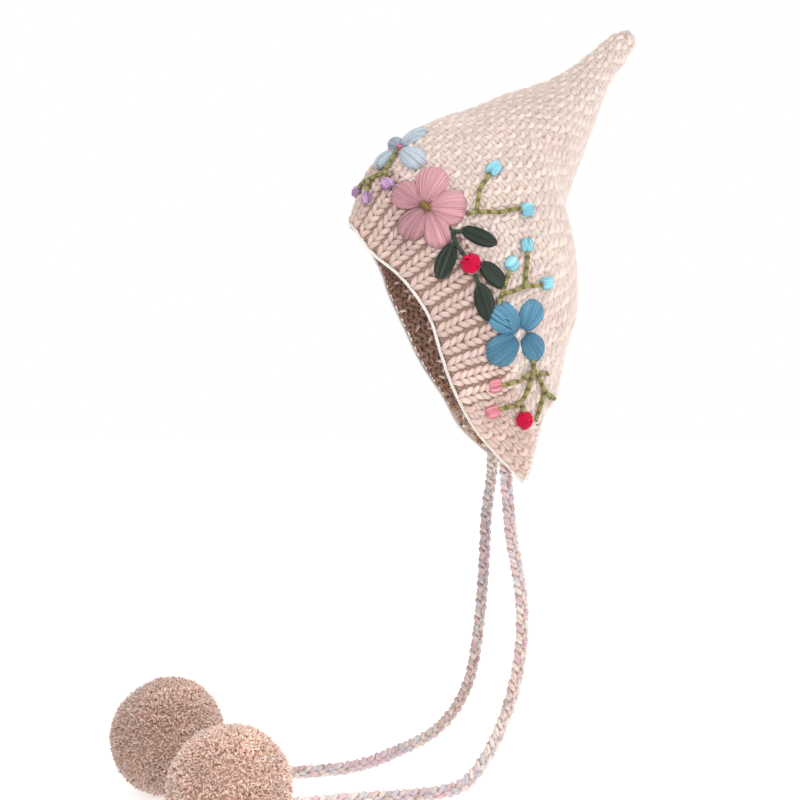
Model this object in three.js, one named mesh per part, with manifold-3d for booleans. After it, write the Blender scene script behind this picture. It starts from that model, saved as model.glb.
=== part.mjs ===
// A child's pointed knit hood with a ribbed face band, wool embroidery on its left side, and two twisted
// ties with pompoms. Millimetres. +Z is up, the face looks along -Y and +X is the wearer's left.
// The origin is the crown of the head, inside the top of the hood, where a head carries it.

import * as THREE from "three";
import { mergeVertices } from "three/addons/utils/BufferGeometryUtils.js";
import Module from "manifold-3d";

const wasm = await Module();
wasm.setup();

// Driving dimensions of the hood
const HOOD_WIDTH = 140; // ear to ear, outside
const HOOD_DEPTH = 150; // face edge to nape
const HOOD_HEIGHT = 320; // flap corner to the tip of the point
const BAND_WIDTH = 45; // ribbed band, face edge to seam
const WALL = 5; // chunky knit, one layer
const RIB_PITCH = 12.8;
const RIB_DEPTH = 1.8;
const SEAM_GAP = 0.6; // between the band and the crown
const EDGING_DIAMETER = 3.2; // bound-off edge of the band

// Driving dimensions of what is sewn on
const LIFT = 0.65; // embroidery stands this far off the smooth hood
const CLEAR = 0.4; // between neighbours
const STEM_DIAMETER = 2.2;
const PETAL_HEIGHT = 3.6;
const LEAF_HEIGHT = 2.6;
const BUD_HEIGHT = 3.2;
const BERRY_HEIGHT = 5.5;
const HEART_HEIGHT = 2.6;
const KNOT_SIZE = 5.5;
const TIE_DIAMETER = 8.4;
const POMPOM_DIAMETER = 72;
const LOCK_LENGTH = 4.5; // cut yarn that stands out of the pompom's ball

// Meshing of the hood
const NECK_COLUMNS = 12;
const CROWN_ROWS = 18;
const BAND_ROWS = 2;
const EDGING_STEPS = 90;
const OUTER_REACH = 0.985; // last ring under the tip
const INNER_REACH = 0.93; // the hollow ends this far up the crown

// Colours of the yarns
const CREAM = 0xeddacf;
const CREAM_SHADED = 0xe2cabd;
const WHITE_EDGE = 0xf6ece6;
const ROSE = 0xd998a0;
const PALE_BLUE = 0xc4d0dc;
const BLUE = 0x5f99bb;
const DARK_GREEN = 0x3e4b43;
const OLIVE = 0x9c9766;
const RED = 0xdb1648;
const SKY = 0xb0e1f0;
const CORAL = 0xeba0a5;
const LILAC = 0xc9a5c6;
const GOLD = 0x8a6d4a;
const TIE_MIX = 0xc9b0ae;
const POMPOM_MIX = 0xb08f82;

// Face edge on the wearer's left, from the front of the crown down to the flap. around is the share of the way to
// the nape, and turn the share of the half turn that each ring of the crown has made there. x, y and z are shares of
// the hood's half width, depth and height. outX, outY and outZ lead across the band to the seam, as shares of the
// band's width.
const FACE_EDGE = [
  { around: 0.0, turn: 0.0, x: 0.0, y: -0.5, z: -0.174, outX: 0.0, outY: 0.35, outZ: 0.88 },
  { around: 0.097, turn: 0.13, x: 0.41, y: -0.495, z: -0.192, outX: 0.07, outY: 0.51, outZ: 0.88 },
  { around: 0.199, turn: 0.26, x: 0.657, y: -0.42, z: -0.252, outX: 0.09, outY: 0.67, outZ: 0.84 },
  { around: 0.313, turn: 0.4, x: 0.814, y: -0.293, z: -0.309, outX: 0.11, outY: 0.76, outZ: 0.64 },
  { around: 0.424, turn: 0.54, x: 0.9, y: -0.18, z: -0.387, outX: 0.09, outY: 0.8, outZ: 0.53 },
  { around: 0.526, turn: 0.65, x: 0.907, y: -0.12, z: -0.472, outX: 0.08, outY: 0.89, outZ: 0.44 },
  { around: 0.628, turn: 0.73, x: 0.871, y: -0.053, z: -0.55, outX: 0.07, outY: 0.8, outZ: 0.29 },
  { around: 0.705, turn: 0.78, x: 0.8, y: 0.053, z: -0.628, outX: 0.04, outY: 0.6, outZ: 0.36 },
  { around: 0.779, turn: 0.82, x: 0.714, y: 0.26, z: -0.728, outX: 0.02, outY: 0.18, outZ: 0.62 },
];

// How much further back and higher the face edge lies on the wearer's right, in the same shares
const RIGHT_EDGE = [
  { around: 0.0, back: 0.0, higher: 0.0 },
  { around: 0.097, back: 0.08, higher: 0.0 },
  { around: 0.199, back: 0.1, higher: 0.0 },
  { around: 0.313, back: 0.035, higher: 0.0 },
  { around: 0.424, back: 0.01, higher: 0.0 },
  { around: 0.526, back: 0.04, higher: 0.0 },
  { around: 0.628, back: 0.08, higher: 0.0 },
  { around: 0.705, back: 0.07, higher: 0.0 },
  { around: 0.779, back: 0.05, higher: 0.022 },
];

// Neck edge, from the flap round to the nape, in the same shares. It has no band.
const NECK_EDGE = [
  { around: 0.835, turn: 0.86, x: 0.629, y: 0.347, z: -0.597 },
  { around: 0.905, turn: 0.92, x: 0.429, y: 0.433, z: -0.5625 },
  { around: 1.0, turn: 1.0, x: 0.0, y: 0.493, z: -0.556 },
];
const FLAP = FACE_EDGE.at(-1).around;

// Rings of the crown from its bottom to the tip: up is the share of the way, frontY and frontZ the ring's place on
// the ridge, backY and backZ its place on the back, as shares of depth and height, and width as a share of the
// hood's half width. The back dips above the nape and bulges below, where the knit sits in a soft fold.
const RINGS = [
  { up: 0.0, frontY: -0.373, frontZ: -0.047, backY: 0.493, backZ: -0.556, width: 0.943 },
  { up: 0.11, frontY: -0.26, frontZ: 0.006, backY: 0.533, backZ: -0.453, width: 1.0 },
  { up: 0.22, frontY: -0.1, frontZ: 0.05, backY: 0.58, backZ: -0.375, width: 0.986 },
  { up: 0.34, frontY: 0.08, frontZ: 0.081, backY: 0.565, backZ: -0.272, width: 0.914 },
  { up: 0.45, frontY: 0.227, frontZ: 0.1125, backY: 0.497, backZ: -0.191, width: 0.786 },
  { up: 0.58, frontY: 0.433, frontZ: 0.147, backY: 0.545, backZ: -0.1, width: 0.571 },
  { up: 0.69, frontY: 0.547, frontZ: 0.178, backY: 0.63, backZ: -0.003, width: 0.4 },
  { up: 0.79, frontY: 0.653, frontZ: 0.216, backY: 0.693, backZ: 0.075, width: 0.286 },
  { up: 0.88, frontY: 0.753, frontZ: 0.256, backY: 0.76, backZ: 0.147, width: 0.207 },
  { up: 0.95, frontY: 0.813, frontZ: 0.272, backY: 0.847, backZ: 0.206, width: 0.157 },
  { up: 0.985, frontY: 0.86, frontZ: 0.272, backY: 0.89, backZ: 0.2375, width: 0.093 },
  { up: 1.0, frontY: 0.887, frontZ: 0.261, backY: 0.887, backZ: 0.261, width: 0.0 },
];
const SAG_REACH = 0.42; // share of the crown over which the bottom's own shape fades into the rings
const SHORT_STEP = 0.004; // share of the way round or up over which slopes are measured
const SEAM_STEP = 5 * SHORT_STEP; // the same across the seam
const BAND_EASE = 0.6; // how far the band bends into the crown's slope at the seam
const FULL_WAY = 1; // around at the nape, and up at the tip

// Value of one column of a table between its rows, on a smooth curve
function along(rows, key, column, at) {
  let i = 0;
  while (i < rows.length - 2 && rows[i + 1][key] <= at) i += 1;
  const slope = (k) => {
    const before = rows[Math.max(k - 1, 0)];
    const after = rows[Math.min(k + 1, rows.length - 1)];
    return (after[column] - before[column]) / (after[key] - before[key]);
  };
  const [a, b] = [rows[i], rows[i + 1]];
  const span = b[key] - a[key];
  const t = Math.min(Math.max((at - a[key]) / span, 0), 1);
  const rise = (2 * t ** 3 - 3 * t ** 2 + 1) * a[column] + (3 * t ** 2 - 2 * t ** 3) * b[column];
  return rise + (t ** 3 - 2 * t ** 2 + t) * span * slope(i) + (t ** 3 - t ** 2) * span * slope(i + 1);
}

// The same table run on past both ends as its mirror image, so that curves cross the middle of the hood square
function mirrored(rows, end) {
  const flip = (row, around, turn) => ({ ...row, around, turn, x: -row.x, outX: -row.outX });
  const before = rows.slice(1, 3).map((row) => flip(row, -row.around, -row.turn)).reverse();
  const after = rows.slice(-3, -1).map((row) => flip(row, 2 - row.around, 2 - row.turn)).reverse();
  return [...before, ...rows, ...(end ? after : [])];
}

const edgeRows = mirrored(FACE_EDGE, false);
const seamRows = mirrored(
  [
    ...FACE_EDGE.map((row) => ({
      around: row.around,
      turn: row.turn,
      x: (row.x * HOOD_WIDTH) / 2 + row.outX * BAND_WIDTH,
      y: row.y * HOOD_DEPTH + row.outY * BAND_WIDTH,
      z: row.z * HOOD_HEIGHT + row.outZ * BAND_WIDTH,
    })),
    ...NECK_EDGE.map((row) => ({
      around: row.around,
      turn: row.turn,
      x: (row.x * HOOD_WIDTH) / 2,
      y: row.y * HOOD_DEPTH,
      z: row.z * HOOD_HEIGHT,
    })),
  ],
  true,
);

const seamAt = (a) => new THREE.Vector3(...["x", "y", "z"].map((c) => along(seamRows, "around", c, a)));

function edgeAt(a, onRight) {
  const at = (column) => along(edgeRows, "around", column, a);
  const more = (column) => (onRight ? along(RIGHT_EDGE, "around", column, a) : 0);
  return new THREE.Vector3(
    (at("x") * HOOD_WIDTH) / 2,
    (at("y") + more("back")) * HOOD_DEPTH,
    (at("z") + more("higher")) * HOOD_HEIGHT,
  );
}

// A point of a plain oval ring of the crown
function ringAt(a, up) {
  const at = (column) => along(RINGS, "up", column, up);
  const turn = Math.PI * along(seamRows, "around", "turn", a);
  const back = (1 - Math.cos(turn)) / 2;
  return new THREE.Vector3(
    (Math.sin(turn) * at("width") * HOOD_WIDTH) / 2,
    (at("frontY") + (at("backY") - at("frontY")) * back) * HOOD_DEPTH,
    (at("frontZ") + (at("backZ") - at("frontZ")) * back) * HOOD_HEIGHT,
  );
}

function crownAt(a, up) {
  const fade = up < SAG_REACH ? (1 - up / SAG_REACH) ** 2 : 0;
  const sag = seamAt(a).sub(ringAt(a, 0)).multiplyScalar(fade);
  return ringAt(a, up).add(sag);
}

function bandAt(a, up, onRight) {
  const [edge, seam] = [edgeAt(a, onRight), seamAt(a)];
  const across = seam.clone().sub(edge);
  const slope = crownAt(a, SEAM_STEP).sub(seam).normalize().multiplyScalar(across.length() * BAND_EASE);
  slope.addScaledVector(across, 1 - BAND_EASE);
  const t = up + 1;
  return edge
    .multiplyScalar(2 * t ** 3 - 3 * t ** 2 + 1)
    .addScaledVector(seam, 3 * t ** 2 - 2 * t ** 3)
    .addScaledVector(across, t ** 3 - 2 * t ** 2 + t)
    .addScaledVector(slope, t ** 3 - t ** 2);
}

// The outer face of the hood. around runs from -1 at the nape over the wearer's right, 0 at the front of the
// crown and the wearer's left to 1 at the nape. up runs from -1 at the face edge to 0 at the seam and 1 at the tip.
const hasBand = (around) => Math.abs(around) <= FLAP + SHORT_STEP / 2;

function hoodAt(around, up) {
  const a = Math.abs(around);
  const point = up < 0 && hasBand(a) ? bandAt(a, up, around < 0) : crownAt(a, Math.max(up, 0));
  if (around < 0) point.x = -point.x;
  return point;
}

function normalAt(around, up) {
  const low = Math.abs(around) > FLAP ? Math.max(up - SHORT_STEP, 0) : Math.max(up - SEAM_STEP, -1);
  const high = Math.min(up + SHORT_STEP, FULL_WAY - SHORT_STEP / 4);
  const limit = up < 0 && hasBand(around) ? FLAP : 2 * FULL_WAY;
  const left = Math.min(around + SHORT_STEP, limit);
  const right = Math.max(around - SHORT_STEP, -limit);
  const side = hoodAt(left, up).sub(hoodAt(right, up));
  const rise = hoodAt(around, high).sub(hoodAt(around, low));
  return side.cross(rise).normalize();
}

const offHood = (around, up, height) => hoodAt(around, up).addScaledVector(normalAt(around, up), height);

// The same beside the seam, where the crown and the band share their slope so that their edges stay parallel
const offSeam = (around, up, height) => hoodAt(around, up).addScaledVector(normalAt(around, 0), height);

// Collects the corners and faces of one closed mesh
class Skin {
  points = [];
  faces = [];
  row(points) {
    const first = this.points.length;
    this.points.push(...points);
    return points.map((_, i) => first + i);
  }
  join(low, high, closed = false) {
    const count = closed ? low.length : low.length - 1;
    for (let i = 0; i < count; i += 1) {
      const j = (i + 1) % low.length;
      this.faces.push([low[i], low[j], high[j]], [low[i], high[j], high[i]]);
    }
  }
  cap(ring, apex) {
    const [top] = this.row([apex]);
    ring.forEach((_, i) => this.faces.push([ring[i], ring[(i + 1) % ring.length], top]));
  }
  geometry() {
    const geometry = new THREE.BufferGeometry();
    geometry.setAttribute("position", new THREE.Float32BufferAttribute(this.points.flatMap((p) => p.toArray()), 3));
    geometry.setIndex(this.faces.flat());
    return geometry;
  }
}

const hat = new THREE.Group();
hat.name = "knit_hood";

const YARN_ROUGHNESS = 0.95;

function add(name, geometry, color) {
  geometry.computeVertexNormals();
  const material = new THREE.MeshStandardMaterial({ color, roughness: YARN_ROUGHNESS, metalness: 0 });
  const mesh = new THREE.Mesh(geometry, material);
  mesh.name = name;
  hat.add(mesh);
}

const steps = (count, from, to) => Array.from({ length: count + 1 }, (_, i) => from + ((to - from) * i) / count);

// Stations round the hood. Each column of the crown meets one rib of the band, so that the two have the same
// straight facets at the seam.
const MEASURE_STEPS = 60;
const faceEdgeHalf = steps(MEASURE_STEPS, 0, FLAP).reduce(
  (sum, a, i, all) => sum + (i ? edgeAt(a, false).distanceTo(edgeAt(all[i - 1], false)) : 0), 0);
const FACETS_A_RIB = 3; // down into the groove, over the ridge and up out of the next groove
const FRONT_COLUMNS = 2 * Math.round(faceEdgeHalf / RIB_PITCH);
const frontStations = steps(FRONT_COLUMNS, -FLAP, FLAP);
const pastNape = (a) => (a > FULL_WAY ? a - 2 * FULL_WAY : a);
const neckStations = steps(NECK_COLUMNS, FLAP, 2 * FULL_WAY - FLAP).slice(1, -1).map(pastNape);
const crownStations = [...frontStations, ...neckStations];

// Crown: the cone of seed stitch from the seam and the neck edge to the tip, hollow inside
function crownStart(a) {
  if (!hasBand(a)) return 0;
  const seam = hoodAt(a + SHORT_STEP, 0).sub(hoodAt(a - SHORT_STEP, 0)).normalize();
  const rise = hoodAt(a, SHORT_STEP).sub(hoodAt(a, 0));
  return ((SEAM_GAP / 2) * SHORT_STEP) / rise.cross(seam).length();
}

function crownGeometry() {
  const skin = new Skin();
  const rise = (a, share) => crownStart(a) + (1 - crownStart(a)) * share;
  const outer = steps(CROWN_ROWS, 0, OUTER_REACH).map((share) =>
    skin.row(crownStations.map((a) => hoodAt(a, rise(a, share)))));
  const inner = steps(CROWN_ROWS, 0, INNER_REACH).map((share) =>
    skin.row(crownStations.map((a) => (share ? offHood : offSeam)(a, rise(a, share), -WALL))));
  outer.slice(1).forEach((row, i) => skin.join(outer[i], row, true));
  inner.slice(1).forEach((row, i) => skin.join(row, inner[i], true));
  skin.join(inner[0], outer[0], true);
  skin.cap(outer.at(-1), hoodAt(0, 1));
  const top = inner.at(-1).map((i) => skin.points[i]);
  const middle = top.reduce((sum, p) => sum.add(p), new THREE.Vector3()).divideScalar(top.length);
  skin.cap(inner.at(-1).toReversed(), middle);
  return skin.geometry();
}
add("crown", crownGeometry(), CREAM);

// Face band: ribs that run from the face edge to the seam
function bandGeometry() {
  const skin = new Skin();
  const columns = steps(FACETS_A_RIB * FRONT_COLUMNS, -FLAP, FLAP);
  const seam = -SEAM_GAP / 2 / BAND_WIDTH;
  const groove = (i) => (i % FACETS_A_RIB ? 0 : -RIB_DEPTH);
  const facet = (i, up, height) => {
    const column = Math.min(Math.floor(i / FACETS_A_RIB), FRONT_COLUMNS - 1);
    const share = i / FACETS_A_RIB - column;
    const [left, right] = [column, column + 1].map((k) => offSeam(frontStations[k], up, height));
    return left.lerp(right, share);
  };
  const layer = (height) => steps(BAND_ROWS, -1, seam).map((up, row) =>
    skin.row(columns.map((a, i) => (row === BAND_ROWS ? facet(i, up, height(i)) : offHood(a, up, height(i))))));
  const outer = layer(groove);
  const inner = layer(() => -WALL);
  outer.slice(1).forEach((row, i) => skin.join(outer[i], row));
  inner.slice(1).forEach((row, i) => skin.join(row, inner[i]));
  skin.join(inner[0], outer[0]);
  skin.join(outer.at(-1), inner.at(-1));
  const end = (rows, k) => rows.map((row) => row.at(k));
  skin.join(end(outer, 0), end(inner, 0));
  skin.join(end(inner, -1), end(outer, -1));
  return skin.geometry();
}
add("face_band", bandGeometry(), CREAM_SHADED);

// Bound-off edge: a cord of stitches along the face edge, in front of the middle of the band's thickness
const polygon = (diameter, sides) => {
  const corner = (_, i) => {
    const turn = (2 * Math.PI * i) / sides;
    return new THREE.Vector2(Math.cos(turn), Math.sin(turn)).multiplyScalar(diameter / 2);
  };
  return new THREE.Shape(Array.from({ length: sides }, corner));
};

function tube(curve, diameter, sides, count) {
  return new THREE.ExtrudeGeometry(polygon(diameter, sides), {
    extrudePath: curve,
    steps: count,
    bevelEnabled: false,
  });
}

function edgingGeometry() {
  const points = steps(EDGING_STEPS, -FLAP, FLAP).map((a) => {
    const ahead = hoodAt(a, -1).sub(hoodAt(a, -1 + SHORT_STEP)).normalize();
    return offHood(a, -1, -WALL / 2).addScaledVector(ahead, EDGING_DIAMETER / 2 + CLEAR);
  });
  return tube(new THREE.CatmullRomCurve3(points), EDGING_DIAMETER, 6, EDGING_STEPS);
}
add("face_edging", edgingGeometry(), WHITE_EDGE);

// Surface place nearest to a point, found from a first guess
const SEAT_ROUNDS = 5;
const HIGHEST_SEAT = 0.98;

function seat(point, guess) {
  let [around, up] = guess;
  for (let turn = 0; turn < SEAT_ROUNDS; turn += 1) {
    const here = hoodAt(around, up);
    const side = hoodAt(around + SHORT_STEP, up).sub(here).divideScalar(SHORT_STEP);
    const rise = hoodAt(around, up + SHORT_STEP).sub(here).divideScalar(SHORT_STEP);
    const off = point.clone().sub(here);
    const [aa, ab, bb] = [side.dot(side), side.dot(rise), rise.dot(rise)];
    const [pa, pb] = [off.dot(side), off.dot(rise)];
    const det = aa * bb - ab * ab;
    around += (pa * bb - pb * ab) / det;
    up = Math.min(Math.max(up + (pb * aa - pa * ab) / det, -1), HIGHEST_SEAT);
  }
  return [around, up];
}

// A padded patch of stitches between two places of the hood, widest past its middle where taper is above zero. Its
// shoulder is a smaller ring, which stands nearly at the full height.
const SHOULDER_SHARE = 0.62;
const SHOULDER_HEIGHT = 0.82;

function pad({ from, to, width, height, taper = 0.25, sides = 10 }) {
  const [start, end] = [hoodAt(...from), hoodAt(...to)];
  const middle = [(from[0] + to[0]) / 2, (from[1] + to[1]) / 2];
  const centre = start.clone().add(end).multiplyScalar(0.5);
  const axis = end.clone().sub(start);
  const length = axis.length();
  axis.normalize();
  const across = normalAt(...middle).cross(axis).normalize();
  const skin = new Skin();
  const ring = (share, lift) => skin.row(Array.from({ length: sides }, (_, i) => {
    const turn = (2 * Math.PI * i) / sides;
    const half = (width / 2) * Math.sin(turn) * (1 + taper * Math.cos(turn)) * share;
    const point = centre.clone().addScaledVector(axis, (length / 2) * Math.cos(turn) * share);
    return offHood(...seat(point.addScaledVector(across, half), middle), lift);
  }));
  const rim = ring(1, LIFT);
  const shoulder = ring(SHOULDER_SHARE, LIFT + height * SHOULDER_HEIGHT);
  skin.join(rim, shoulder, true);
  const core = seat(centre, middle);
  skin.cap(shoulder, offHood(...core, LIFT + height));
  skin.cap(rim.toReversed(), offHood(...core, LIFT));
  return skin.geometry();
}

// Embroidered motifs. from and to are places on the hood as shares round and up, width is in millimetres.
const PETALS = [
  { name: "rose_petal_1", color: ROSE, from: [0.22, -0.002], to: [0.206, 0.086], width: 18 },
  { name: "rose_petal_2", color: ROSE, from: [0.246, -0.01], to: [0.304, 0.062], width: 18 },
  { name: "rose_petal_3", color: ROSE, from: [0.252, -0.115], to: [0.314, -0.292], width: 14 },
  { name: "rose_petal_4", color: ROSE, from: [0.232, -0.17], to: [0.24, -0.58], width: 15 },
  { name: "rose_petal_5", color: ROSE, from: [0.21, -0.12], to: [0.154, -0.196], width: 14.5 },
  { name: "pale_petal_1", color: PALE_BLUE, from: [0.108, 0.062], to: [0.172, 0.068], width: 11 },
  { name: "pale_petal_2", color: PALE_BLUE, from: [0.09, 0.086], to: [0.098, 0.158], width: 8.5 },
  { name: "pale_petal_3", color: PALE_BLUE, from: [0.084, 0.044], to: [0.066, -0.09], width: 9 },
  { name: "pale_petal_4", color: PALE_BLUE, from: [0.076, 0.074], to: [0.026, 0.092], width: 7.5 },
  { name: "blue_petal_1", color: BLUE, from: [0.558, 0.026], to: [0.478, -0.118], width: 15 },
  { name: "blue_petal_2", color: BLUE, from: [0.58, 0.052], to: [0.58, 0.112], width: 13 },
  { name: "blue_petal_3", color: BLUE, from: [0.574, 0.02], to: [0.568, -0.382], width: 15 },
  { name: "blue_petal_4", color: BLUE, from: [0.598, 0.05], to: [0.694, 0.08], width: 13 },
];

const LEAVES = [
  { name: "leaf_1", from: [0.326, 0.02], to: [0.398, 0.068], width: 8.5 },
  { name: "leaf_2", from: [0.328, -0.21], to: [0.364, -0.592], width: 11 },
  { name: "leaf_3", from: [0.402, 0.008], to: [0.464, 0.03], width: 10 },
  { name: "leaf_4", from: [0.422, -0.2], to: [0.478, -0.2], width: 11 },
];

const BUDS = [
  { name: "berry_1", color: RED, from: [0.366, -0.034], to: [0.396, -0.196], width: 12.5, height: BERRY_HEIGHT },
  { name: "berry_2", color: RED, from: [0.71, -0.004], to: [0.732, -0.196], width: 11, height: BERRY_HEIGHT },
  { name: "sky_bud_1", color: SKY, from: [0.298, 0.182], to: [0.296, 0.218], width: 7.5 },
  { name: "sky_bud_2", color: SKY, from: [0.398, 0.188], to: [0.41, 0.218], width: 7.5 },
  { name: "sky_bud_3", color: SKY, from: [0.454, 0.066], to: [0.458, 0.096], width: 7.5 },
  { name: "sky_bud_4", color: SKY, from: [0.466, 0.14], to: [0.448, 0.152], width: 7.5 },
  { name: "sky_bud_5", color: SKY, from: [0.554, 0.14], to: [0.574, 0.17], width: 7 },
  { name: "coral_bud_1", color: CORAL, from: [0.63, -0.298], to: [0.628, -0.472], width: 7 },
  { name: "coral_bud_2", color: CORAL, from: [0.678, -0.49], to: [0.678, -0.694], width: 7.5 },
  { name: "lilac_bud_1", color: LILAC, from: [0.122, -0.214], to: [0.142, -0.226], width: 6.5 },
  { name: "lilac_bud_2", color: LILAC, from: [0.092, -0.526], to: [0.112, -0.61], width: 6 },
  { name: "lilac_bud_3", color: LILAC, from: [0.034, -0.466], to: [0.006, -0.538], width: 5 },
  { name: "rose_heart", color: GOLD, from: [0.222, -0.088], to: [0.242, -0.08], width: 5, height: HEART_HEIGHT },
  { name: "pale_heart", color: ROSE, from: [0.086, 0.068], to: [0.1, 0.068], width: 3, height: HEART_HEIGHT },
];

PETALS.forEach(({ name, color, ...shape }) => add(name, pad({ height: PETAL_HEIGHT, ...shape }), color));
LEAVES.forEach(({ name, ...shape }) =>
  add(name, pad({ height: LEAF_HEIGHT, taper: -0.2, sides: 8, ...shape }), DARK_GREEN));
BUDS.forEach(({ name, color, ...shape }) =>
  add(name, pad({ height: BUD_HEIGHT, taper: 0, sides: 8, ...shape }), color));

// Stems. Each runs through its places on the hood, starts and stops short of what it joins by the given
// millimetres, and branches grow out of the stem before them.
const STEMS = [
  { name: "lilac_stem", color: OLIVE, runs: [
    { stop: 4.2, path: [[0.108, -0.01], [0.104, -0.16], [0.076, -0.32], [0.09, -0.47], [0.102, -0.57]] },
    { stop: 3.7, path: [[0.105, -0.1], [0.12, -0.13], [0.132, -0.22]] },
    { stop: 4.8, path: [[0.08, -0.3], [0.05, -0.38], [0.02, -0.5]] },
  ] },
  { name: "upper_stem", color: OLIVE, runs: [
    { stop: 4.9, path: [[0.316, 0.056], [0.332, 0.08], [0.368, 0.13], [0.388, 0.18], [0.404, 0.203]] },
    { stop: 5, path: [[0.332, 0.08], [0.308, 0.13], [0.302, 0.17], [0.297, 0.2]] },
  ] },
  { name: "leaf_stem_1", color: DARK_GREEN, runs: [
    { stop: 7.6, path: [[0.297, -0.05], [0.312, -0.07], [0.33, -0.12], [0.35, -0.13], [0.381, -0.115]] },
    { stop: 0.6, path: [[0.306, -0.06], [0.314, -0.01], [0.326, 0.02]] },
    { stop: 0.9, path: [[0.326, -0.11], [0.326, -0.15], [0.328, -0.21]] },
  ] },
  { name: "leaf_stem_2", color: DARK_GREEN, runs: [
    { stop: 0.6, path: [[0.404, -0.145], [0.412, -0.17], [0.422, -0.2]] },
  ] },
  { name: "middle_stem", color: OLIVE, runs: [
    { stop: 4.9, path: [[0.482, -0.014], [0.476, 0.01], [0.464, 0.05], [0.456, 0.081]] },
    { stop: 4.9, path: [[0.474, 0.018], [0.49, 0.045], [0.516, 0.09], [0.548, 0.13], [0.564, 0.155]] },
    { stop: 4.6, path: [[0.514, 0.087], [0.492, 0.11], [0.476, 0.13], [0.457, 0.146]] },
  ] },
  { name: "lower_stem", color: OLIVE, runs: [
    { stop: 0, path: [[0.66, 0.034], [0.68, 0.046], [0.7, 0.056], [0.736, 0.06], [0.75, 0.046], [0.752, 0.02]] },
    { stop: 4.4, path: [[0.682, 0.046], [0.664, 0.02], [0.648, -0.08], [0.634, -0.22], [0.629, -0.385]] },
    { stop: 6.6, path: [[0.682, 0.046], [0.69, 0.024], [0.7, 0.008], [0.721, -0.1]] },
    { stop: 4.6, path: [[0.694, 0.016], [0.688, -0.12], [0.68, -0.36], [0.678, -0.59]] },
    { stop: 0, path: [[0.718, 0.058], [0.726, 0.068], [0.738, 0.08]] },
    { stop: 0, path: [[0.746, 0.054], [0.76, 0.052], [0.774, 0.05]] },
  ] },
];

const STEM_SIDES = 5;
const SPLITS = 2; // points of a stem between two of its listed places

function run({ path, stop }) {
  const height = LIFT + STEM_DIAMETER / 2;
  const points = path.slice(1).flatMap(([a, u], i) => steps(SPLITS, 0, 1).slice(i ? 1 : 0).map((t) =>
    offHood(path[i][0] + (a - path[i][0]) * t, path[i][1] + (u - path[i][1]) * t, height)));
  const whole = new THREE.CatmullRomCurve3(points);
  const share = 1 - stop / whole.getLength();
  const kept = new THREE.CatmullRomCurve3(steps(points.length, 0, share).map((t) => whole.getPointAt(t)));
  return tube(kept, STEM_DIAMETER, STEM_SIDES, points.length);
}

function solid(geometry) {
  const bare = geometry.clone();
  bare.deleteAttribute("normal");
  bare.deleteAttribute("uv");
  const { attributes, index } = mergeVertices(bare, 1e-4);
  const vertProperties = new Float32Array(attributes.position.array);
  return new wasm.Manifold(new wasm.Mesh({ numProp: 3, vertProperties, triVerts: new Uint32Array(index.array) }));
}

function geometryOf(body) {
  const { vertProperties, triVerts } = body.getMesh();
  const geometry = new THREE.BufferGeometry();
  geometry.setAttribute("position", new THREE.BufferAttribute(new Float32Array(vertProperties), 3));
  geometry.setIndex(Array.from(triVerts));
  return geometry;
}

STEMS.forEach(({ name, color, runs }) => {
  const body = runs.map((each) => solid(run(each))).reduce((sum, each) => sum.add(each));
  add(name, geometryOf(body), color);
});

// The end of a green thread, knotted inside the right side of the band
const KNOT_PLACE = [-0.43, -0.45];

function knotGeometry() {
  const ball = new THREE.IcosahedronGeometry(KNOT_SIZE / 2, 1);
  const centre = offHood(...KNOT_PLACE, -WALL - CLEAR - KNOT_SIZE / 2);
  return ball.translate(...centre.toArray());
}
add("inner_knot", geometryOf(solid(knotGeometry())), DARK_GREEN);

// Routes of the two ties, from inside the flap down to the surface and along it into the pompom
const TIE_LEFT = [
  [42.6, 27, -217], [42.7, 27.3, -227], [44.1, 27.8, -238], [46.3, 28.2, -249], [48.2, 28.9, -262], [48.8, 30.6, -276],
  [48.8, 33.4, -290], [49.4, 35.6, -305], [50.2, 36.6, -320], [51.4, 36, -336], [52.8, 34, -351], [54.2, 30.8, -365],
  [55.8, 26.3, -379], [57.6, 20.4, -393], [59.8, 12.6, -407], [63, 3.6, -418], [68.4, -6.4, -424.6],
  [74.6, -19, -425.8], [78.6, -36, -425.8], [79.8, -56, -425.8], [79.8, -76, -425.8], [81.6, -94, -425.6],
  [87.4, -109, -424], [97, -121.4, -419.4], [107.8, -130.6, -412.2], [117.1, -136.5, -405.6],
];
const TIE_RIGHT = [
  [-41.7, 37.4, -213], [-42.3, 37.8, -221], [-44, 38, -231], [-46.2, 37.6, -241], [-47.2, 35.9, -253], [-47.1, 34, -270],
  [-46.4, 33, -290], [-46, 31.8, -310], [-45, 30, -330], [-43.6, 27.6, -350], [-41.6, 24.6, -368], [-39.2, 20, -386],
  [-36, 12.4, -401], [-32, 1.6, -413.6], [-26.6, -10.6, -421.6], [-18.6, -23.6, -425.2], [-8, -35, -425.8],
  [4.6, -48, -425.8], [16.2, -61.4, -425.8], [24.2, -77, -425.8], [27.6, -95, -425.8], [28.2, -114, -425.8],
  [28.4, -132, -425.2], [29.2, -147, -421.8], [30.4, -158.6, -415.4], [31.8, -168, -407.8],
];
const POMPOM_LEFT = [138.6, -152.6, -394];
const POMPOM_RIGHT = [38.2, -194, -394];
const TIE_STEPS = 34;
const TIE_SIDES = 8;

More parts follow.
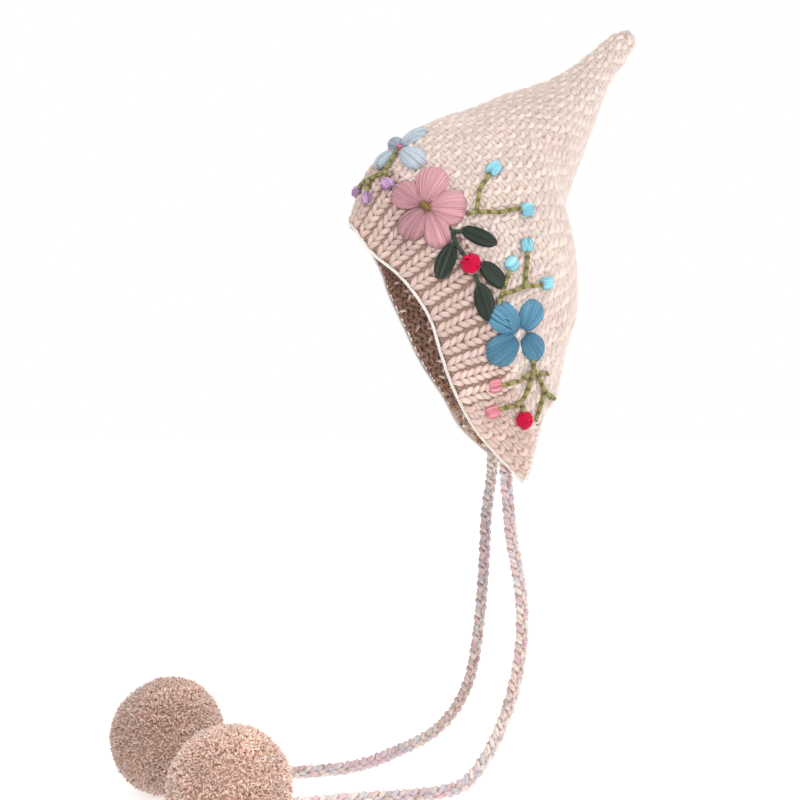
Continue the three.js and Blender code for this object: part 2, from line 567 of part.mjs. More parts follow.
// A pompom: a ball whose every facet is drawn out into a short lock of cut yarn, with a socket for its tie
function pompomGeometry(centre, route) {
  const ball = new THREE.IcosahedronGeometry(POMPOM_DIAMETER / 2 - LOCK_LENGTH, 2);
  const corners = ball.attributes.position;
  const skin = new Skin();
  for (let i = 0; i < corners.count; i += 3) {
    const ring = skin.row([0, 1, 2].map((k) => new THREE.Vector3().fromBufferAttribute(corners, i + k)));
    const lock = ring.reduce((sum, k) => sum.add(skin.points[k]), new THREE.Vector3());
    skin.cap(ring, lock.setLength(POMPOM_DIAMETER / 2));
  }
  const at = new THREE.Vector3(...centre);
  const body = solid(skin.geometry().translate(...centre));
  const [before, end] = route.slice(-2).map((point) => new THREE.Vector3(...point));
  const way = end.clone().sub(before).normalize();
  const hole = new THREE.CylinderGeometry(1, 1, 1, TIE_SIDES * 2);
  const width = TIE_DIAMETER / 2 + CLEAR;
  const reach = POMPOM_DIAMETER;
  hole.scale(width, reach, width).translate(0, -reach / 2 + CLEAR, 0);
  hole.applyQuaternion(new THREE.Quaternion().setFromUnitVectors(new THREE.Vector3(0, 1, 0), way));
  hole.translate(...end.toArray());
  return geometryOf(body.subtract(solid(hole)));
}

const SIDES = [
  { side: "left", route: TIE_LEFT, centre: POMPOM_LEFT },
  { side: "right", route: TIE_RIGHT, centre: POMPOM_RIGHT },
];
SIDES.forEach(({ side, route, centre }) => {
  const curve = new THREE.CatmullRomCurve3(route.map((point) => new THREE.Vector3(...point)));
  add(`tie_${side}`, tube(curve, TIE_DIAMETER, TIE_SIDES, TIE_STEPS), TIE_MIX);
  add(`pompom_${side}`, pompomGeometry(centre, route), POMPOM_MIX);
});

export default hat;
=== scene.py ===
"""A child's pointed knit hood, in Blender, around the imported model.

Lengths are in millimetres until a mesh is made, which puts them in metres. +Z is up, the face looks along -Y
and +X is the wearer's left. A place on the hood is (around, up): around runs from -1 at the nape over the
wearer's right, 0 at the front of the crown and the wearer's left to 1 at the nape, and up from -1 at the face
edge to 0 at the seam and 1 at the tip.
"""
import math

import bpy
import numpy as np
from mathutils import Matrix, Vector


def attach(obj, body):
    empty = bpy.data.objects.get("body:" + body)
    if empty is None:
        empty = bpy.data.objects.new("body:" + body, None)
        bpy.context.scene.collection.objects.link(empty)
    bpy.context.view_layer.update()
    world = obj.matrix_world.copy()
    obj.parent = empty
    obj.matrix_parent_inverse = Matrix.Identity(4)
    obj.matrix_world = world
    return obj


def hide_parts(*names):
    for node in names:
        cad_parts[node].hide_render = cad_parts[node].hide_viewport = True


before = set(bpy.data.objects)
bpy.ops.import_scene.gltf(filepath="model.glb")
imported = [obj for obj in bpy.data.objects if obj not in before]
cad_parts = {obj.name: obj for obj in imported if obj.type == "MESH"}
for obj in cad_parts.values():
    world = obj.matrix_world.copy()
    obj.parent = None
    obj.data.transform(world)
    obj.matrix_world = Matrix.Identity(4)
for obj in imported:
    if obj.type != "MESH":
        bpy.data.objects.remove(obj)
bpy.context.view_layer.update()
MM = 0.001
RNG = np.random.default_rng(7519)

# Camera, from the picture's perspective
IMAGE_SIDE = 800
FOCAL_PIXELS = 1040
SENSOR_WIDTH = 36
CAMERA_PLACE = (720.9, -139.3, -179.0)
CAMERA_BACK = (0.990268, -0.139173, 0.0)
CAMERA_RIGHT = (0.139173, 0.990268, 0.0)
FLOOR = -430


def placed(name, data):
    """A new object of the data, in the scene."""
    thing = bpy.data.objects.new(name, data)
    bpy.context.scene.collection.objects.link(thing)
    return thing


def make_camera():
    data = bpy.data.cameras.new("camera")
    data.sensor_width = SENSOR_WIDTH
    data.lens = SENSOR_WIDTH * FOCAL_PIXELS / IMAGE_SIDE
    camera = placed("camera", data)
    turn = Matrix((CAMERA_RIGHT, (0, 0, 1), CAMERA_BACK)).transposed()
    camera.matrix_world = Matrix.Translation(Vector(CAMERA_PLACE) * MM) @ turn.to_4x4()
    bpy.context.scene.camera = camera


make_camera()


# Tables of the hood, in the same shares as its solids
HOOD_WIDTH = 140
HOOD_DEPTH = 150
HOOD_HEIGHT = 320
BAND_WIDTH = 45
WALL = 5
RIB_PITCH = 12.8
SAG_REACH = 0.42
SHORT_STEP = 0.004
SEAM_STEP = 5 * SHORT_STEP
BAND_EASE = 0.6


def table(columns, rows):
    """One array for each named column."""
    return dict(zip(columns.split(), np.array(rows, float).T))


FACE_EDGE = table("around turn x y z out_x out_y out_z right_back right_up", [
    (0.0, 0.0, 0.0, -0.5, -0.174, 0.0, 0.35, 0.88, 0.0, 0.0),
    (0.097, 0.13, 0.41, -0.495, -0.192, 0.07, 0.51, 0.88, 0.08, 0.0),
    (0.199, 0.26, 0.657, -0.42, -0.252, 0.09, 0.67, 0.84, 0.1, 0.0),
    (0.313, 0.4, 0.814, -0.293, -0.309, 0.11, 0.76, 0.64, 0.035, 0.0),
    (0.424, 0.54, 0.9, -0.18, -0.387, 0.09, 0.8, 0.53, 0.01, 0.0),
    (0.526, 0.65, 0.907, -0.12, -0.472, 0.08, 0.89, 0.44, 0.04, 0.0),
    (0.628, 0.73, 0.871, -0.053, -0.55, 0.07, 0.8, 0.29, 0.08, 0.0),
    (0.705, 0.78, 0.8, 0.053, -0.628, 0.04, 0.6, 0.36, 0.07, 0.0),
    (0.779, 0.82, 0.714, 0.26, -0.728, 0.02, 0.18, 0.62, 0.05, 0.022),
])
NECK_EDGE = table("around turn x y z", [
    (0.835, 0.86, 0.629, 0.347, -0.597),
    (0.905, 0.92, 0.429, 0.433, -0.5625),
    (1.0, 1.0, 0.0, 0.493, -0.556),
])
RINGS = table("up front_y front_z back_y back_z width", [
    (0.0, -0.373, -0.047, 0.493, -0.556, 0.943),
    (0.11, -0.26, 0.006, 0.533, -0.453, 1.0),
    (0.22, -0.1, 0.05, 0.58, -0.375, 0.986),
    (0.34, 0.08, 0.081, 0.565, -0.272, 0.914),
    (0.45, 0.227, 0.1125, 0.497, -0.191, 0.786),
    (0.58, 0.433, 0.147, 0.545, -0.1, 0.571),
    (0.69, 0.547, 0.178, 0.63, -0.003, 0.4),
    (0.79, 0.653, 0.216, 0.693, 0.075, 0.286),
    (0.88, 0.753, 0.256, 0.76, 0.147, 0.207),
    (0.95, 0.813, 0.272, 0.847, 0.206, 0.157),
    (0.985, 0.86, 0.272, 0.89, 0.2375, 0.093),
    (1.0, 0.887, 0.261, 0.887, 0.261, 0.0),
])
FLAP = FACE_EDGE["around"][-1]


def mirrored(rows, end):
    """The table and its mirror image past its ends, so that curves cross the hood's middle square."""
    def flip(part, start):
        sign = {"around": start, "turn": start}
        return {k: sign[k] - v if k in sign else (-v if k in ("x", "out_x") else v) for k, v in part.items()}

    before = flip({k: v[2:0:-1] for k, v in rows.items()}, 0)
    after = flip({k: v[-2:-4:-1] for k, v in rows.items()}, 2)
    parts = [before, rows] + ([after] if end else [])
    return {k: np.concatenate([part[k] for part in parts]) for k in rows}


def joined_seam():
    """The seam and then the neck edge, in millimetres."""
    size = {"x": HOOD_WIDTH / 2, "y": HOOD_DEPTH, "z": HOOD_HEIGHT}
    seam = {k: np.concatenate([FACE_EDGE[k], NECK_EDGE[k]]) for k in ("around", "turn")}
    for k, full in size.items():
        across = FACE_EDGE[k] * full + FACE_EDGE["out_" + k] * BAND_WIDTH
        seam[k] = np.concatenate([across, NECK_EDGE[k] * full])
    return seam


EDGE_ROWS = mirrored(FACE_EDGE, False)
SEAM_ROWS = mirrored(joined_seam(), True)


def along(rows, key, column, at):
    """Value of a column between a table's rows, on a smooth curve."""
    keys, values = rows[key], rows[column]
    slope = np.empty_like(values)
    slope[1:-1] = (values[2:] - values[:-2]) / (keys[2:] - keys[:-2])
    slope[0] = (values[1] - values[0]) / (keys[1] - keys[0])
    slope[-1] = (values[-1] - values[-2]) / (keys[-1] - keys[-2])
    i = np.clip(np.searchsorted(keys, at, side="right") - 1, 0, len(keys) - 2)
    span = keys[i + 1] - keys[i]
    t = np.clip((at - keys[i]) / span, 0, 1)
    rise = (2 * t**3 - 3 * t**2 + 1) * values[i] + (3 * t**2 - 2 * t**3) * values[i + 1]
    return rise + ((t**3 - 2 * t**2 + t) * slope[i] + (t**3 - t**2) * slope[i + 1]) * span


def unit(vectors):
    return vectors / np.maximum(np.linalg.norm(vectors, axis=-1, keepdims=True), 1e-9)


def seam_at(a):
    return np.stack([along(SEAM_ROWS, "around", c, a) for c in "xyz"], -1)


def edge_at(a, on_right):
    x, y, z, back, higher = (along(EDGE_ROWS, "around", c, a) for c in "x y z right_back right_up".split())
    y = y + np.where(on_right, back, 0)
    z = z + np.where(on_right, higher, 0)
    return np.stack([x * HOOD_WIDTH / 2, y * HOOD_DEPTH, z * HOOD_HEIGHT], -1)


def ring_at(a, up):
    front_y, front_z, back_y, back_z, width = (
        along(RINGS, "up", c, up) for c in "front_y front_z back_y back_z width".split())
    turn = math.pi * along(SEAM_ROWS, "around", "turn", a)
    back = (1 - np.cos(turn)) / 2
    return np.stack([
        np.sin(turn) * width * HOOD_WIDTH / 2,
        (front_y + (back_y - front_y) * back) * HOOD_DEPTH,
        (front_z + (back_z - front_z) * back) * HOOD_HEIGHT,
    ], -1)


def crown_at(a, up):
    fade = np.maximum(1 - up / SAG_REACH, 0)[..., None] ** 2
    return ring_at(a, up) + (seam_at(a) - ring_at(a, np.zeros_like(a))) * fade


def band_at(a, up, on_right):
    edge, seam = edge_at(a, on_right), seam_at(a)
    across = seam - edge
    length = np.linalg.norm(across, axis=-1, keepdims=True)
    onward = unit(crown_at(a, np.full_like(a, SEAM_STEP)) - seam)
    slope = onward * length * BAND_EASE + across * (1 - BAND_EASE)
    t = (up + 1)[..., None]
    return (edge * (2 * t**3 - 3 * t**2 + 1) + seam * (3 * t**2 - 2 * t**3)
            + across * (t**3 - 2 * t**2 + t) + slope * (t**3 - t**2))


def paired(*values):
    """Arrays of one shape."""
    return (np.array(v, float) for v in np.broadcast_arrays(*values))


def has_band(around):
    return np.abs(around) <= FLAP + SHORT_STEP / 2


def hood(around, up):
    """Points of the hood's outer face."""
    around, up = paired(around, up)
    a = np.abs(around)
    crown = crown_at(a, np.maximum(up, 0))
    band = band_at(np.minimum(a, FLAP), np.minimum(up, 0), around < 0)
    point = np.where(((up < 0) & has_band(around))[..., None], band, crown)
    point[..., 0] *= np.where(around < 0, -1, 1)
    return point


def hood_frame(around, up):
    """Point, direction round the hood, direction up and outward normal, with millimetres per unit of each."""
    around, up = paired(around, up)
    banded = has_band(around)
    low = np.where(banded, np.maximum(up - SEAM_STEP, -1), np.maximum(up - SHORT_STEP, 0))
    high = np.minimum(up + SHORT_STEP, 1 - SHORT_STEP / 4)
    limit = np.where((up < 0) & banded, FLAP, 2)
    left = np.minimum(around + SHORT_STEP, limit)
    right = np.maximum(around - SHORT_STEP, -limit)
    side = (hood(left, up) - hood(right, up)) / (left - right)[..., None]
    rise = (hood(around, high) - hood(around, low)) / np.maximum(high - low, 1e-6)[..., None]
    return hood(around, up), side, rise, unit(np.cross(side, rise))


def off_hood(around, up, height):
    point, _, _, normal = hood_frame(around, up)
    return point + normal * np.asarray(height)[..., None]


# Places on the crown by their share of the way from the seam to the tip, so that its rows lie evenly
MERIDIANS = np.linspace(0, 1, 101)
CLIMB = np.linspace(0, 1, 241)


def climb_table():
    """Length from the seam to the tip along each meridian, and its heights at even shares of that length."""
    points = hood(MERIDIANS[:, None], CLIMB[None])
    way = np.linalg.norm(np.diff(points, axis=1), axis=2).cumsum(1)
    way = np.concatenate([np.zeros((len(MERIDIANS), 1)), way], 1)
    return way[:, -1], np.stack([np.interp(CLIMB * row[-1], row, CLIMB) for row in way])


CROWN_LENGTH, CROWN_UPS = climb_table()


def up_at(around, share):
    """Height on the crown at a share of the way up its meridian."""
    a = np.abs(around)
    x = np.where(a > 1, 2 - a, a) * (len(MERIDIANS) - 1)
    y = np.clip(share, 0, 1) * (len(CLIMB) - 1)
    i = np.clip(x.astype(int), 0, len(MERIDIANS) - 2)
    k = np.clip(y.astype(int), 0, len(CLIMB) - 2)
    s, t = x - i, y - k
    low = CROWN_UPS[i, k] * (1 - s) + CROWN_UPS[i + 1, k] * s
    high = CROWN_UPS[i, k + 1] * (1 - s) + CROWN_UPS[i + 1, k + 1] * s
    return low * (1 - t) + high * t


def crown_place(around, share):
    around, share = paired(around, share)
    return hood(around, up_at(around, share))


def crown_frame(around, share):
    """Point, millimetres per unit round, and outward normal, at a share of the way up."""
    step = 2 * SHORT_STEP
    side = (crown_place(around + step, share) - crown_place(around - step, share)) / (2 * step)
    low, high = np.maximum(share - step, 0), np.minimum(share + step, 1)
    rise = crown_place(around, high) - crown_place(around, low)
    return crown_place(around, share), np.linalg.norm(side, axis=-1), unit(np.cross(side, rise))


# Strands of yarn


def way_along(points):
    """Length from a line's first point to each of its points."""
    return np.concatenate([[0], np.linalg.norm(np.diff(points, axis=0), axis=1).cumsum()])


def quads_between(row, column, after, columns):
    """Corners of the quads between rows of points, from a column to the one after it."""
    low, high = row * columns, (row + 1) * columns
    return np.stack([low + column, low + after, high + after, high + column], -1).reshape(-1, 4)


def circled(one, two, turn):
    """Directions turned from one towards two."""
    return one * np.cos(turn) + two * np.sin(turn)


def sweep(centres, radii, normals, sides):
    """Rings of points round centres (strand, step, xyz)."""
    tangent = unit(np.gradient(centres, axis=1))
    side = unit(np.cross(tangent, normals))
    rise = np.cross(side, tangent)
    turn = (np.arange(sides) * 2 * math.pi / sides)[:, None]
    radii = np.broadcast_to(radii, centres.shape[:2])[..., None, None]
    return centres[:, :, None] + circled(side[:, :, None], rise[:, :, None], turn) * radii


class Yarn:
    """Collects strands and sheets of yarn and makes one mesh of them."""

    def __init__(self, name):
        self.name = name
        self.points, self.quads, self.caps, self.tints = [], [], [], []
        self.count = 0

    def tubes(self, centres, radii, normals, tint, sides=6):
        """Closed tubes along centres (strand, step, xyz), with a tint for each strand or step."""
        centres = np.asarray(centres, float)
        strands, steps = centres.shape[:2]
        k, s = np.meshgrid(np.arange(steps - 1), np.arange(sides), indexing="ij")
        one = quads_between(k, s, (s + 1) % sides, sides)
        start = self.count + np.arange(strands)[:, None, None] * steps * sides
        self.quads.append((start + one).reshape(-1, 4))
        ends = np.stack([np.arange(sides)[::-1], (steps - 1) * sides + np.arange(sides)])
        self.caps += (start + ends).reshape(-1, sides).tolist()
        tint = np.asarray(tint, float)
        tint = tint[:, None] if tint.ndim == 2 else tint
        self.tints.append(np.broadcast_to(tint[:, :, None], (strands, steps, sides, 3)).reshape(-1, 3))
        self.points.append(sweep(centres, radii, normals, sides).reshape(-1, 3))
        self.count += strands * steps * sides

    def surface(self, grid, tint, closed=False):
        """A sheet of points (row, column, xyz), which faces the way that columns x rows points."""
        rows, columns = grid.shape[:2]
        r, c = np.meshgrid(np.arange(rows - 1), np.arange(columns if closed else columns - 1), indexing="ij")
        self.quads.append(quads_between(r, c, (c + 1) % columns, columns) + self.count)
        self.points.append(grid.reshape(-1, 3))
        self.tints.append(np.broadcast_to(np.asarray(tint, float), (rows, columns, 3)).reshape(-1, 3))
        numbers = self.count + np.arange(rows * columns).reshape(rows, columns)
        self.count += rows * columns
        return numbers

    def ball(self, centre, radii, tint, axes=np.eye(3), rows=12, columns=20):
        """A closed ball with a radius along each of its axes."""
        polar = np.linspace(0.05, math.pi - 0.05, rows)[::-1, None]
        turn = np.linspace(0, 2 * math.pi, columns, endpoint=False)[None]
        sphere = np.stack([np.sin(polar) * np.cos(turn), np.sin(polar) * np.sin(turn),
                           np.cos(polar) * np.ones_like(turn)], -1)
        grid = self.surface(np.asarray(centre) + (sphere * radii) @ np.asarray(axes), tint, closed=True)
        self.caps += [list(grid[0][::-1]), list(grid[-1])]

    def build(self, material, slot, *replaced):
        mesh = bpy.data.meshes.new(self.name)
        points = np.concatenate(self.points) * MM
        quads = np.concatenate(self.quads)
        sizes = np.concatenate([np.full(len(quads), 4), [len(c) for c in self.caps]]).astype(np.int32)
        corners = np.concatenate([quads.ravel(), [i for c in self.caps for i in c]]).astype(np.int32)
        mesh.vertices.add(len(points))
        mesh.vertices.foreach_set("co", points.astype(np.float32).ravel())
        mesh.loops.add(len(corners))
        mesh.loops.foreach_set("vertex_index", corners)
        mesh.polygons.add(len(sizes))
        mesh.polygons.foreach_set("loop_start", np.concatenate([[0], sizes.cumsum()[:-1]]).astype(np.int32))
        mesh.polygons.foreach_set("loop_total", sizes)
        mesh.polygons.foreach_set("use_smooth", np.ones(len(sizes), bool))
        colours = np.concatenate([np.concatenate(self.tints).clip(0, 1), np.ones((len(points), 1))], 1)
        tint = mesh.attributes.new("tint", "FLOAT_COLOR", "POINT")
        tint.data.foreach_set("color", colours.astype(np.float32).ravel())
        mesh.update(calc_edges=True)
        mesh.validate()
        mesh.materials.append(material)
        piece = placed(self.name, mesh)
        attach(piece, "root")
        if replaced:
            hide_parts(*replaced)
        return piece


def jitter(spread, count, columns=1):
    """Noise, with a row for each of count strands."""
    return RNG.normal(0, spread, (count, columns))


def varied(colour, count, spread=0.05):
    """count shades of a colour."""
    return np.asarray(colour) * (1 + jitter(spread, count)) * (1 + jitter(spread / 4, count, 3))


# Materials


class Nodes:
    """Short calls for a material's nodes."""

    def __init__(self, name):
        self.material = bpy.data.materials.new(name)
        self.material.use_nodes = True
        self.tree = self.material.node_tree
        self.shader = self.tree.nodes["Principled BSDF"]

    def add(self, kind, settings=None, **inputs):
        node = self.tree.nodes.new("ShaderNode" + kind)
        for key, value in (settings or {}).items():
            setattr(node, key, value)
        for key, value in inputs.items():
            self.set(node.inputs[int(key[1:]) if key[1:].isdigit() else key], value)
        return node

    def set(self, socket, value):
        if isinstance(value, bpy.types.NodeSocket):
            self.tree.links.new(value, socket)
        else:
            socket.default_value = value

    def shade(self, **values):
        """Sets the shader's sockets, whose names have an underscore here for each space."""
        for key, value in values.items():
            self.set(self.shader.inputs[key.replace("_", " ")], value)


def wool(name, sheen=0.2, grain=1.0, mottle=0.08, soft=0.5):
    """Wool yarn: the mesh's own tint, mottled along the fibres, with their bump, sheen and soft light."""
    n = Nodes(name)
    tint = n.add("Attribute", {"attribute_name": "tint"})
    place = n.add("TexCoord").outputs["Object"]
    fine = n.add("TexNoise", Scale=420.0 * grain, Detail=3.0, Roughness=0.6, Vector=place)
    cloud = n.add("TexNoise", Scale=45.0, Detail=2.0, Vector=place)
    both = n.add("Math", {"operation": "ADD"}, _0=fine.outputs["Fac"], _1=cloud.outputs["Fac"])
    level = n.add("MapRange", _0=both.outputs[0], _1=0.6, _2=1.4, _3=1 - mottle, _4=1 + mottle)
    colour = n.add("VectorMath", {"operation": "SCALE"}, _0=tint.outputs["Vector"])
    n.set(colour.inputs["Scale"], level.outputs["Result"])
    n.shade(Base_Color=colour.outputs["Vector"])
    fibres = n.add("TexNoise", Scale=900.0 * grain, Detail=4.0, Roughness=0.7, Vector=place)
    bump = n.add("Bump", Strength=0.3, Distance=0.001, Height=fibres.outputs["Fac"])
    n.shade(Normal=bump.outputs["Normal"], Roughness=0.92, Specular_IOR_Level=0.12)
    n.shade(Sheen_Weight=sheen, Sheen_Roughness=0.5)
    n.shade(Subsurface_Weight=soft, Subsurface_Radius=(1.0, 0.75, 0.6), Subsurface_Scale=0.0025)
    return n.material


KNIT_WOOL = wool("knit_wool")
EMBROIDERY_WOOL = wool("embroidery_wool", sheen=0.1, grain=1.4, soft=0.1)
TIE_WOOL = wool("tie_wool", mottle=0.15)
PILE_WOOL = wool("pile_wool", sheen=0.45, mottle=0.2, soft=0.2)

# Ties: the routes of their middles, as in the solids
TIE_LEFT = [
    (42.6, 27, -217), (42.7, 27.3, -227), (44.1, 27.8, -238), (46.3, 28.2, -249), (48.2, 28.9, -262),
    (48.8, 30.6, -276), (48.8, 33.4, -290), (49.4, 35.6, -305), (50.2, 36.6, -320), (51.4, 36, -336),
    (52.8, 34, -351), (54.2, 30.8, -365), (55.8, 26.3, -379), (57.6, 20.4, -393), (59.8, 12.6, -407),
    (63, 3.6, -418), (68.4, -6.4, -424.6), (74.6, -19, -425.8), (78.6, -36, -425.8), (79.8, -56, -425.8),
    (79.8, -76, -425.8), (81.6, -94, -425.6), (87.4, -109, -424), (97, -121.4, -419.4),
    (107.8, -130.6, -412.2), (117.1, -136.5, -405.6),
]
TIE_RIGHT = [
    (-41.7, 37.4, -213), (-42.3, 37.8, -221), (-44, 38, -231), (-46.2, 37.6, -241), (-47.2, 35.9, -253),
    (-47.1, 34, -270), (-46.4, 33, -290), (-46, 31.8, -310), (-45, 30, -330), (-43.6, 27.6, -350),
    (-41.6, 24.6, -368), (-39.2, 20, -386), (-36, 12.4, -401), (-32, 1.6, -413.6), (-26.6, -10.6, -421.6),
    (-18.6, -23.6, -425.2), (-8, -35, -425.8), (4.6, -48, -425.8), (16.2, -61.4, -425.8), (24.2, -77, -425.8),
    (27.6, -95, -425.8), (28.2, -114, -425.8), (28.4, -132, -425.2), (29.2, -147, -421.8),
    (30.4, -158.6, -415.4), (31.8, -168, -407.8),
]
POMPOM_LEFT = (138.6, -152.6, -394)
POMPOM_RIGHT = (38.2, -194, -394)
POMPOM_DIAMETER = 72


FRAME_START = (1.0, 0.0, 0.2)  # a direction that no path starts along


def smooth_path(points, step):
    """A centripetal spline through the points, at even steps."""
    p = np.array(points, float)
    p = np.vstack([2 * p[0] - p[1], p, 2 * p[-1] - p[-2]])
    knots = np.concatenate([[0], np.sqrt(np.linalg.norm(np.diff(p, axis=0), axis=1)).cumsum()])
    fine = []
    for i in range(1, len(p) - 2):
        t = np.linspace(knots[i], knots[i + 1], 24, endpoint=False)[:, None]
        t0, t1, t2, t3 = knots[i - 1:i + 3]
        a1 = (t1 - t) / (t1 - t0) * p[i - 1] + (t - t0) / (t1 - t0) * p[i]
        a2 = (t2 - t) / (t2 - t1) * p[i] + (t - t1) / (t2 - t1) * p[i + 1]
        a3 = (t3 - t) / (t3 - t2) * p[i + 1] + (t - t2) / (t3 - t2) * p[i + 2]
        b1 = (t2 - t) / (t2 - t0) * a1 + (t - t0) / (t2 - t0) * a2
        b2 = (t3 - t) / (t3 - t1) * a2 + (t - t1) / (t3 - t1) * a3
        fine.append((t2 - t) / (t2 - t1) * b1 + (t - t1) / (t2 - t1) * b2)
    fine = np.vstack(fine + [p[-2:-1]])
    length = way_along(fine)
    at = np.linspace(0, length[-1], max(int(round(length[-1] / step)), 2) + 1)
    return np.stack([np.interp(at, length, fine[:, k]) for k in range(3)], 1), at


def side_frame(path):
    """Two directions square to a path, which turn with it as little as they can."""
    tangent = unit(np.gradient(path, axis=0))
    side = np.empty_like(path)
    side[0] = unit(np.cross(tangent[0], FRAME_START))
    for i in range(1, len(path)):
        side[i] = unit(side[i - 1] - tangent[i] * (side[i - 1] @ tangent[i]))
    return side, np.cross(tangent, side)


def blended(colours, place):
    """Colours of a list in turn, each blended into the next, at places counted from the first."""
    colours = np.array(colours)
    i = np.floor(place).astype(int)
    t = (place - i)[..., None]
    t = t * t * (3 - 2 * t)
    return colours[i % len(colours)] * (1 - t) + colours[(i + 1) % len(colours)] * t


BRAID_PITCH = 19
PLY_PITCH = 8.5
PLY_RADIUS = 1.45
PLY_OFFSET = 0.9
BRAID_SWING = 2.5
BRAID_RISE = 1.4
BRAID_STEP = 1.3
SHADE_RUN = 42
TIE_CREAM = (0.76, 0.64, 0.58)
TIE_BEIGE = (0.64, 0.50, 0.45)
TIE_ROSE = (0.66, 0.44, 0.45)
TIE_LILAC = (0.57, 0.44, 0.475)
TIE_GREY = (0.55, 0.52, 0.54)
TIE_SPECK = (0.26, 0.18, 0.17)
TIE_SPECKS = (-0.9, 0.7)  # mean and spread of the specks' share, which counts as none below 0
TIE_SHADES = [
    (TIE_CREAM, TIE_BEIGE, TIE_CREAM, TIE_ROSE, TIE_GREY),
    (TIE_BEIGE, TIE_ROSE, TIE_ROSE, TIE_CREAM, TIE_LILAC),
    (TIE_GREY, TIE_LILAC, TIE_CREAM, TIE_BEIGE, TIE_CREAM),
]


def make_tie(side_name, route, level):
    """Three strands of two plies, plaited along the route: the piece, its path and its length."""
    path, at = smooth_path(route, BRAID_STEP)
    side, rise = side_frame(path)
    yarn = Yarn(f"braid_{side_name}")
    for k, colours in enumerate(TIE_SHADES):
        turn = 2 * math.pi * (at / BRAID_PITCH + k / 3)
        swing, climb = np.sin(turn) * BRAID_SWING, np.sin(2 * turn) * BRAID_RISE
        centre = path + side * swing[:, None] + rise * climb[:, None]
        direction = unit(np.gradient(centre, axis=0))
        out = unit(np.cross(direction, side))
        over = np.cross(out, direction)
        for ply in range(2):
            spin = 2 * math.pi * (at / PLY_PITCH + ply / 2 + level)
            line = centre + circled(out, over, spin[:, None]) * PLY_OFFSET
            line[:, 2] = np.maximum(line[:, 2], FLOOR + PLY_RADIUS * 1.1)
            tint = blended(colours, at / SHADE_RUN + ply * 0.4 + k * 1.3 + level * 7)
            speck = np.clip(RNG.normal(*TIE_SPECKS, (len(at), 1)), 0, 0.6)
            tint = (tint * (1 - speck) + np.array(TIE_SPECK) * speck) * level
            radius = PLY_RADIUS * (1 + 0.07 * np.sin(at * 0.9 + ply + 3 * k))
            yarn.tubes(line[None], radius[None], out[None], tint[None])
    return yarn.build(TIE_WOOL, "tie_yarn", f"tie_{side_name}"), path, float(at[-1])


# The last number scales each tie's colours, painting shade on the right one, and also shifts its plies' twist
# and colour runs
TIES = {"left": make_tie("left", TIE_LEFT, 1.0), "right": make_tie("right", TIE_RIGHT, 0.86)}

# Pompoms: cut yarn ends, curled at their tips, that stand out of a heart painted darker as shade
PILE_SHADES = [
    (0.60, 0.36, 0.275), (0.72, 0.465, 0.36), (0.84, 0.62, 0.505), (0.44, 0.235, 0.17), (0.72, 0.425, 0.365),
]
PILE_SHARES = [0.28, 0.28, 0.2, 0.1, 0.14]
PILE_FLECK = (0.72, 0.07, 0.2)
TUFTS = 9600
TUFT_RADIUS = 0.72
WISPS = 2400
WISP_RADIUS = 0.16
PILE_WISP = (0.86, 0.70, 0.64)
PILE_DEPTH = 8
HEART_DEPTH = 2.6
WISP_DEPTH = 2.5


def pompom(side, centre, radius, fleck_share, level):
    centre = np.array(centre, float)
    yarn = Yarn(f"pile_{side}")
    i = np.arange(TUFTS) + 0.5
    lift = 1 - 2 * i / TUFTS
    turn = math.pi * (1 + 5**0.5) * i
    way = np.stack([np.sqrt(1 - lift**2) * np.cos(turn), np.sqrt(1 - lift**2) * np.sin(turn), lift], -1)
    way = unit(way + RNG.normal(0, 0.02, way.shape))
    curl = unit(np.cross(way, RNG.normal(0, 1, way.shape)))
    clumps = np.sin(way @ RNG.normal(0, 4, (3, 4)) + RNG.random(4) * 6).sum(1)
    reach = radius - 1.4 + RNG.normal(0, 0.5, TUFTS) + clumps * 0.3
    root = centre + way * (radius - PILE_DEPTH)
    middle = centre + way * (reach - 1.6)[:, None] + curl * 0.5
    end = centre + way * (reach + RNG.normal(0, 0.35, TUFTS))[:, None]
    end = end + curl * RNG.uniform(1.0, 2.2, (TUFTS, 1))
    lines = np.stack([root, middle, end], 1)
    lines[..., 2] = np.maximum(lines[..., 2], FLOOR + TUFT_RADIUS)
    shade = np.array(PILE_SHADES)[RNG.choice(len(PILE_SHADES), TUFTS, p=PILE_SHARES)]
    shade = shade * level * (1 + jitter(0.09, TUFTS)) * (1 + 0.05 * clumps[:, None])
    shade[RNG.random(TUFTS) < fleck_share] = PILE_FLECK
    # painted shade: each tuft is darker towards its root, deep in the pile
    tints = np.stack([shade * 0.75, shade * 0.95, shade * 1.02], 1)
    radii = TUFT_RADIUS * RNG.uniform(0.75, 1.2, (TUFTS, 1)) * np.array([0.9, 1.05, 0.75])
    yarn.tubes(lines, radii, np.cross(way, curl)[:, None].repeat(3, 1), tints, sides=3)
    # painted shade: the heart is darker than the pile
    yarn.ball(centre, radius - HEART_DEPTH, np.array(PILE_SHADES[0]) * 0.8 * level, rows=20, columns=32)
    out = way[:: TUFTS // WISPS]
    over = unit(np.cross(out, RNG.normal(0, 1, out.shape)))
    start = centre + out * (radius - WISP_DEPTH)
    bend = start + out * 2 + over * RNG.uniform(0.3, 1.4, (len(out), 1))
    tip = bend + out * RNG.uniform(0.2, 1.2, (len(out), 1))
    tip = tip + over * RNG.uniform(0.6, 2.2, (len(out), 1))
    fibres = np.stack([start, bend, tip], 1)
    fibres[..., 2] = np.maximum(fibres[..., 2], FLOOR + TUFT_RADIUS)
    yarn.tubes(fibres, WISP_RADIUS, over[:, None].repeat(3, 1), varied(PILE_WISP, len(out)) * level, sides=3)
    return yarn.build(PILE_WOOL, "pompom_yarn", f"pompom_{side}")


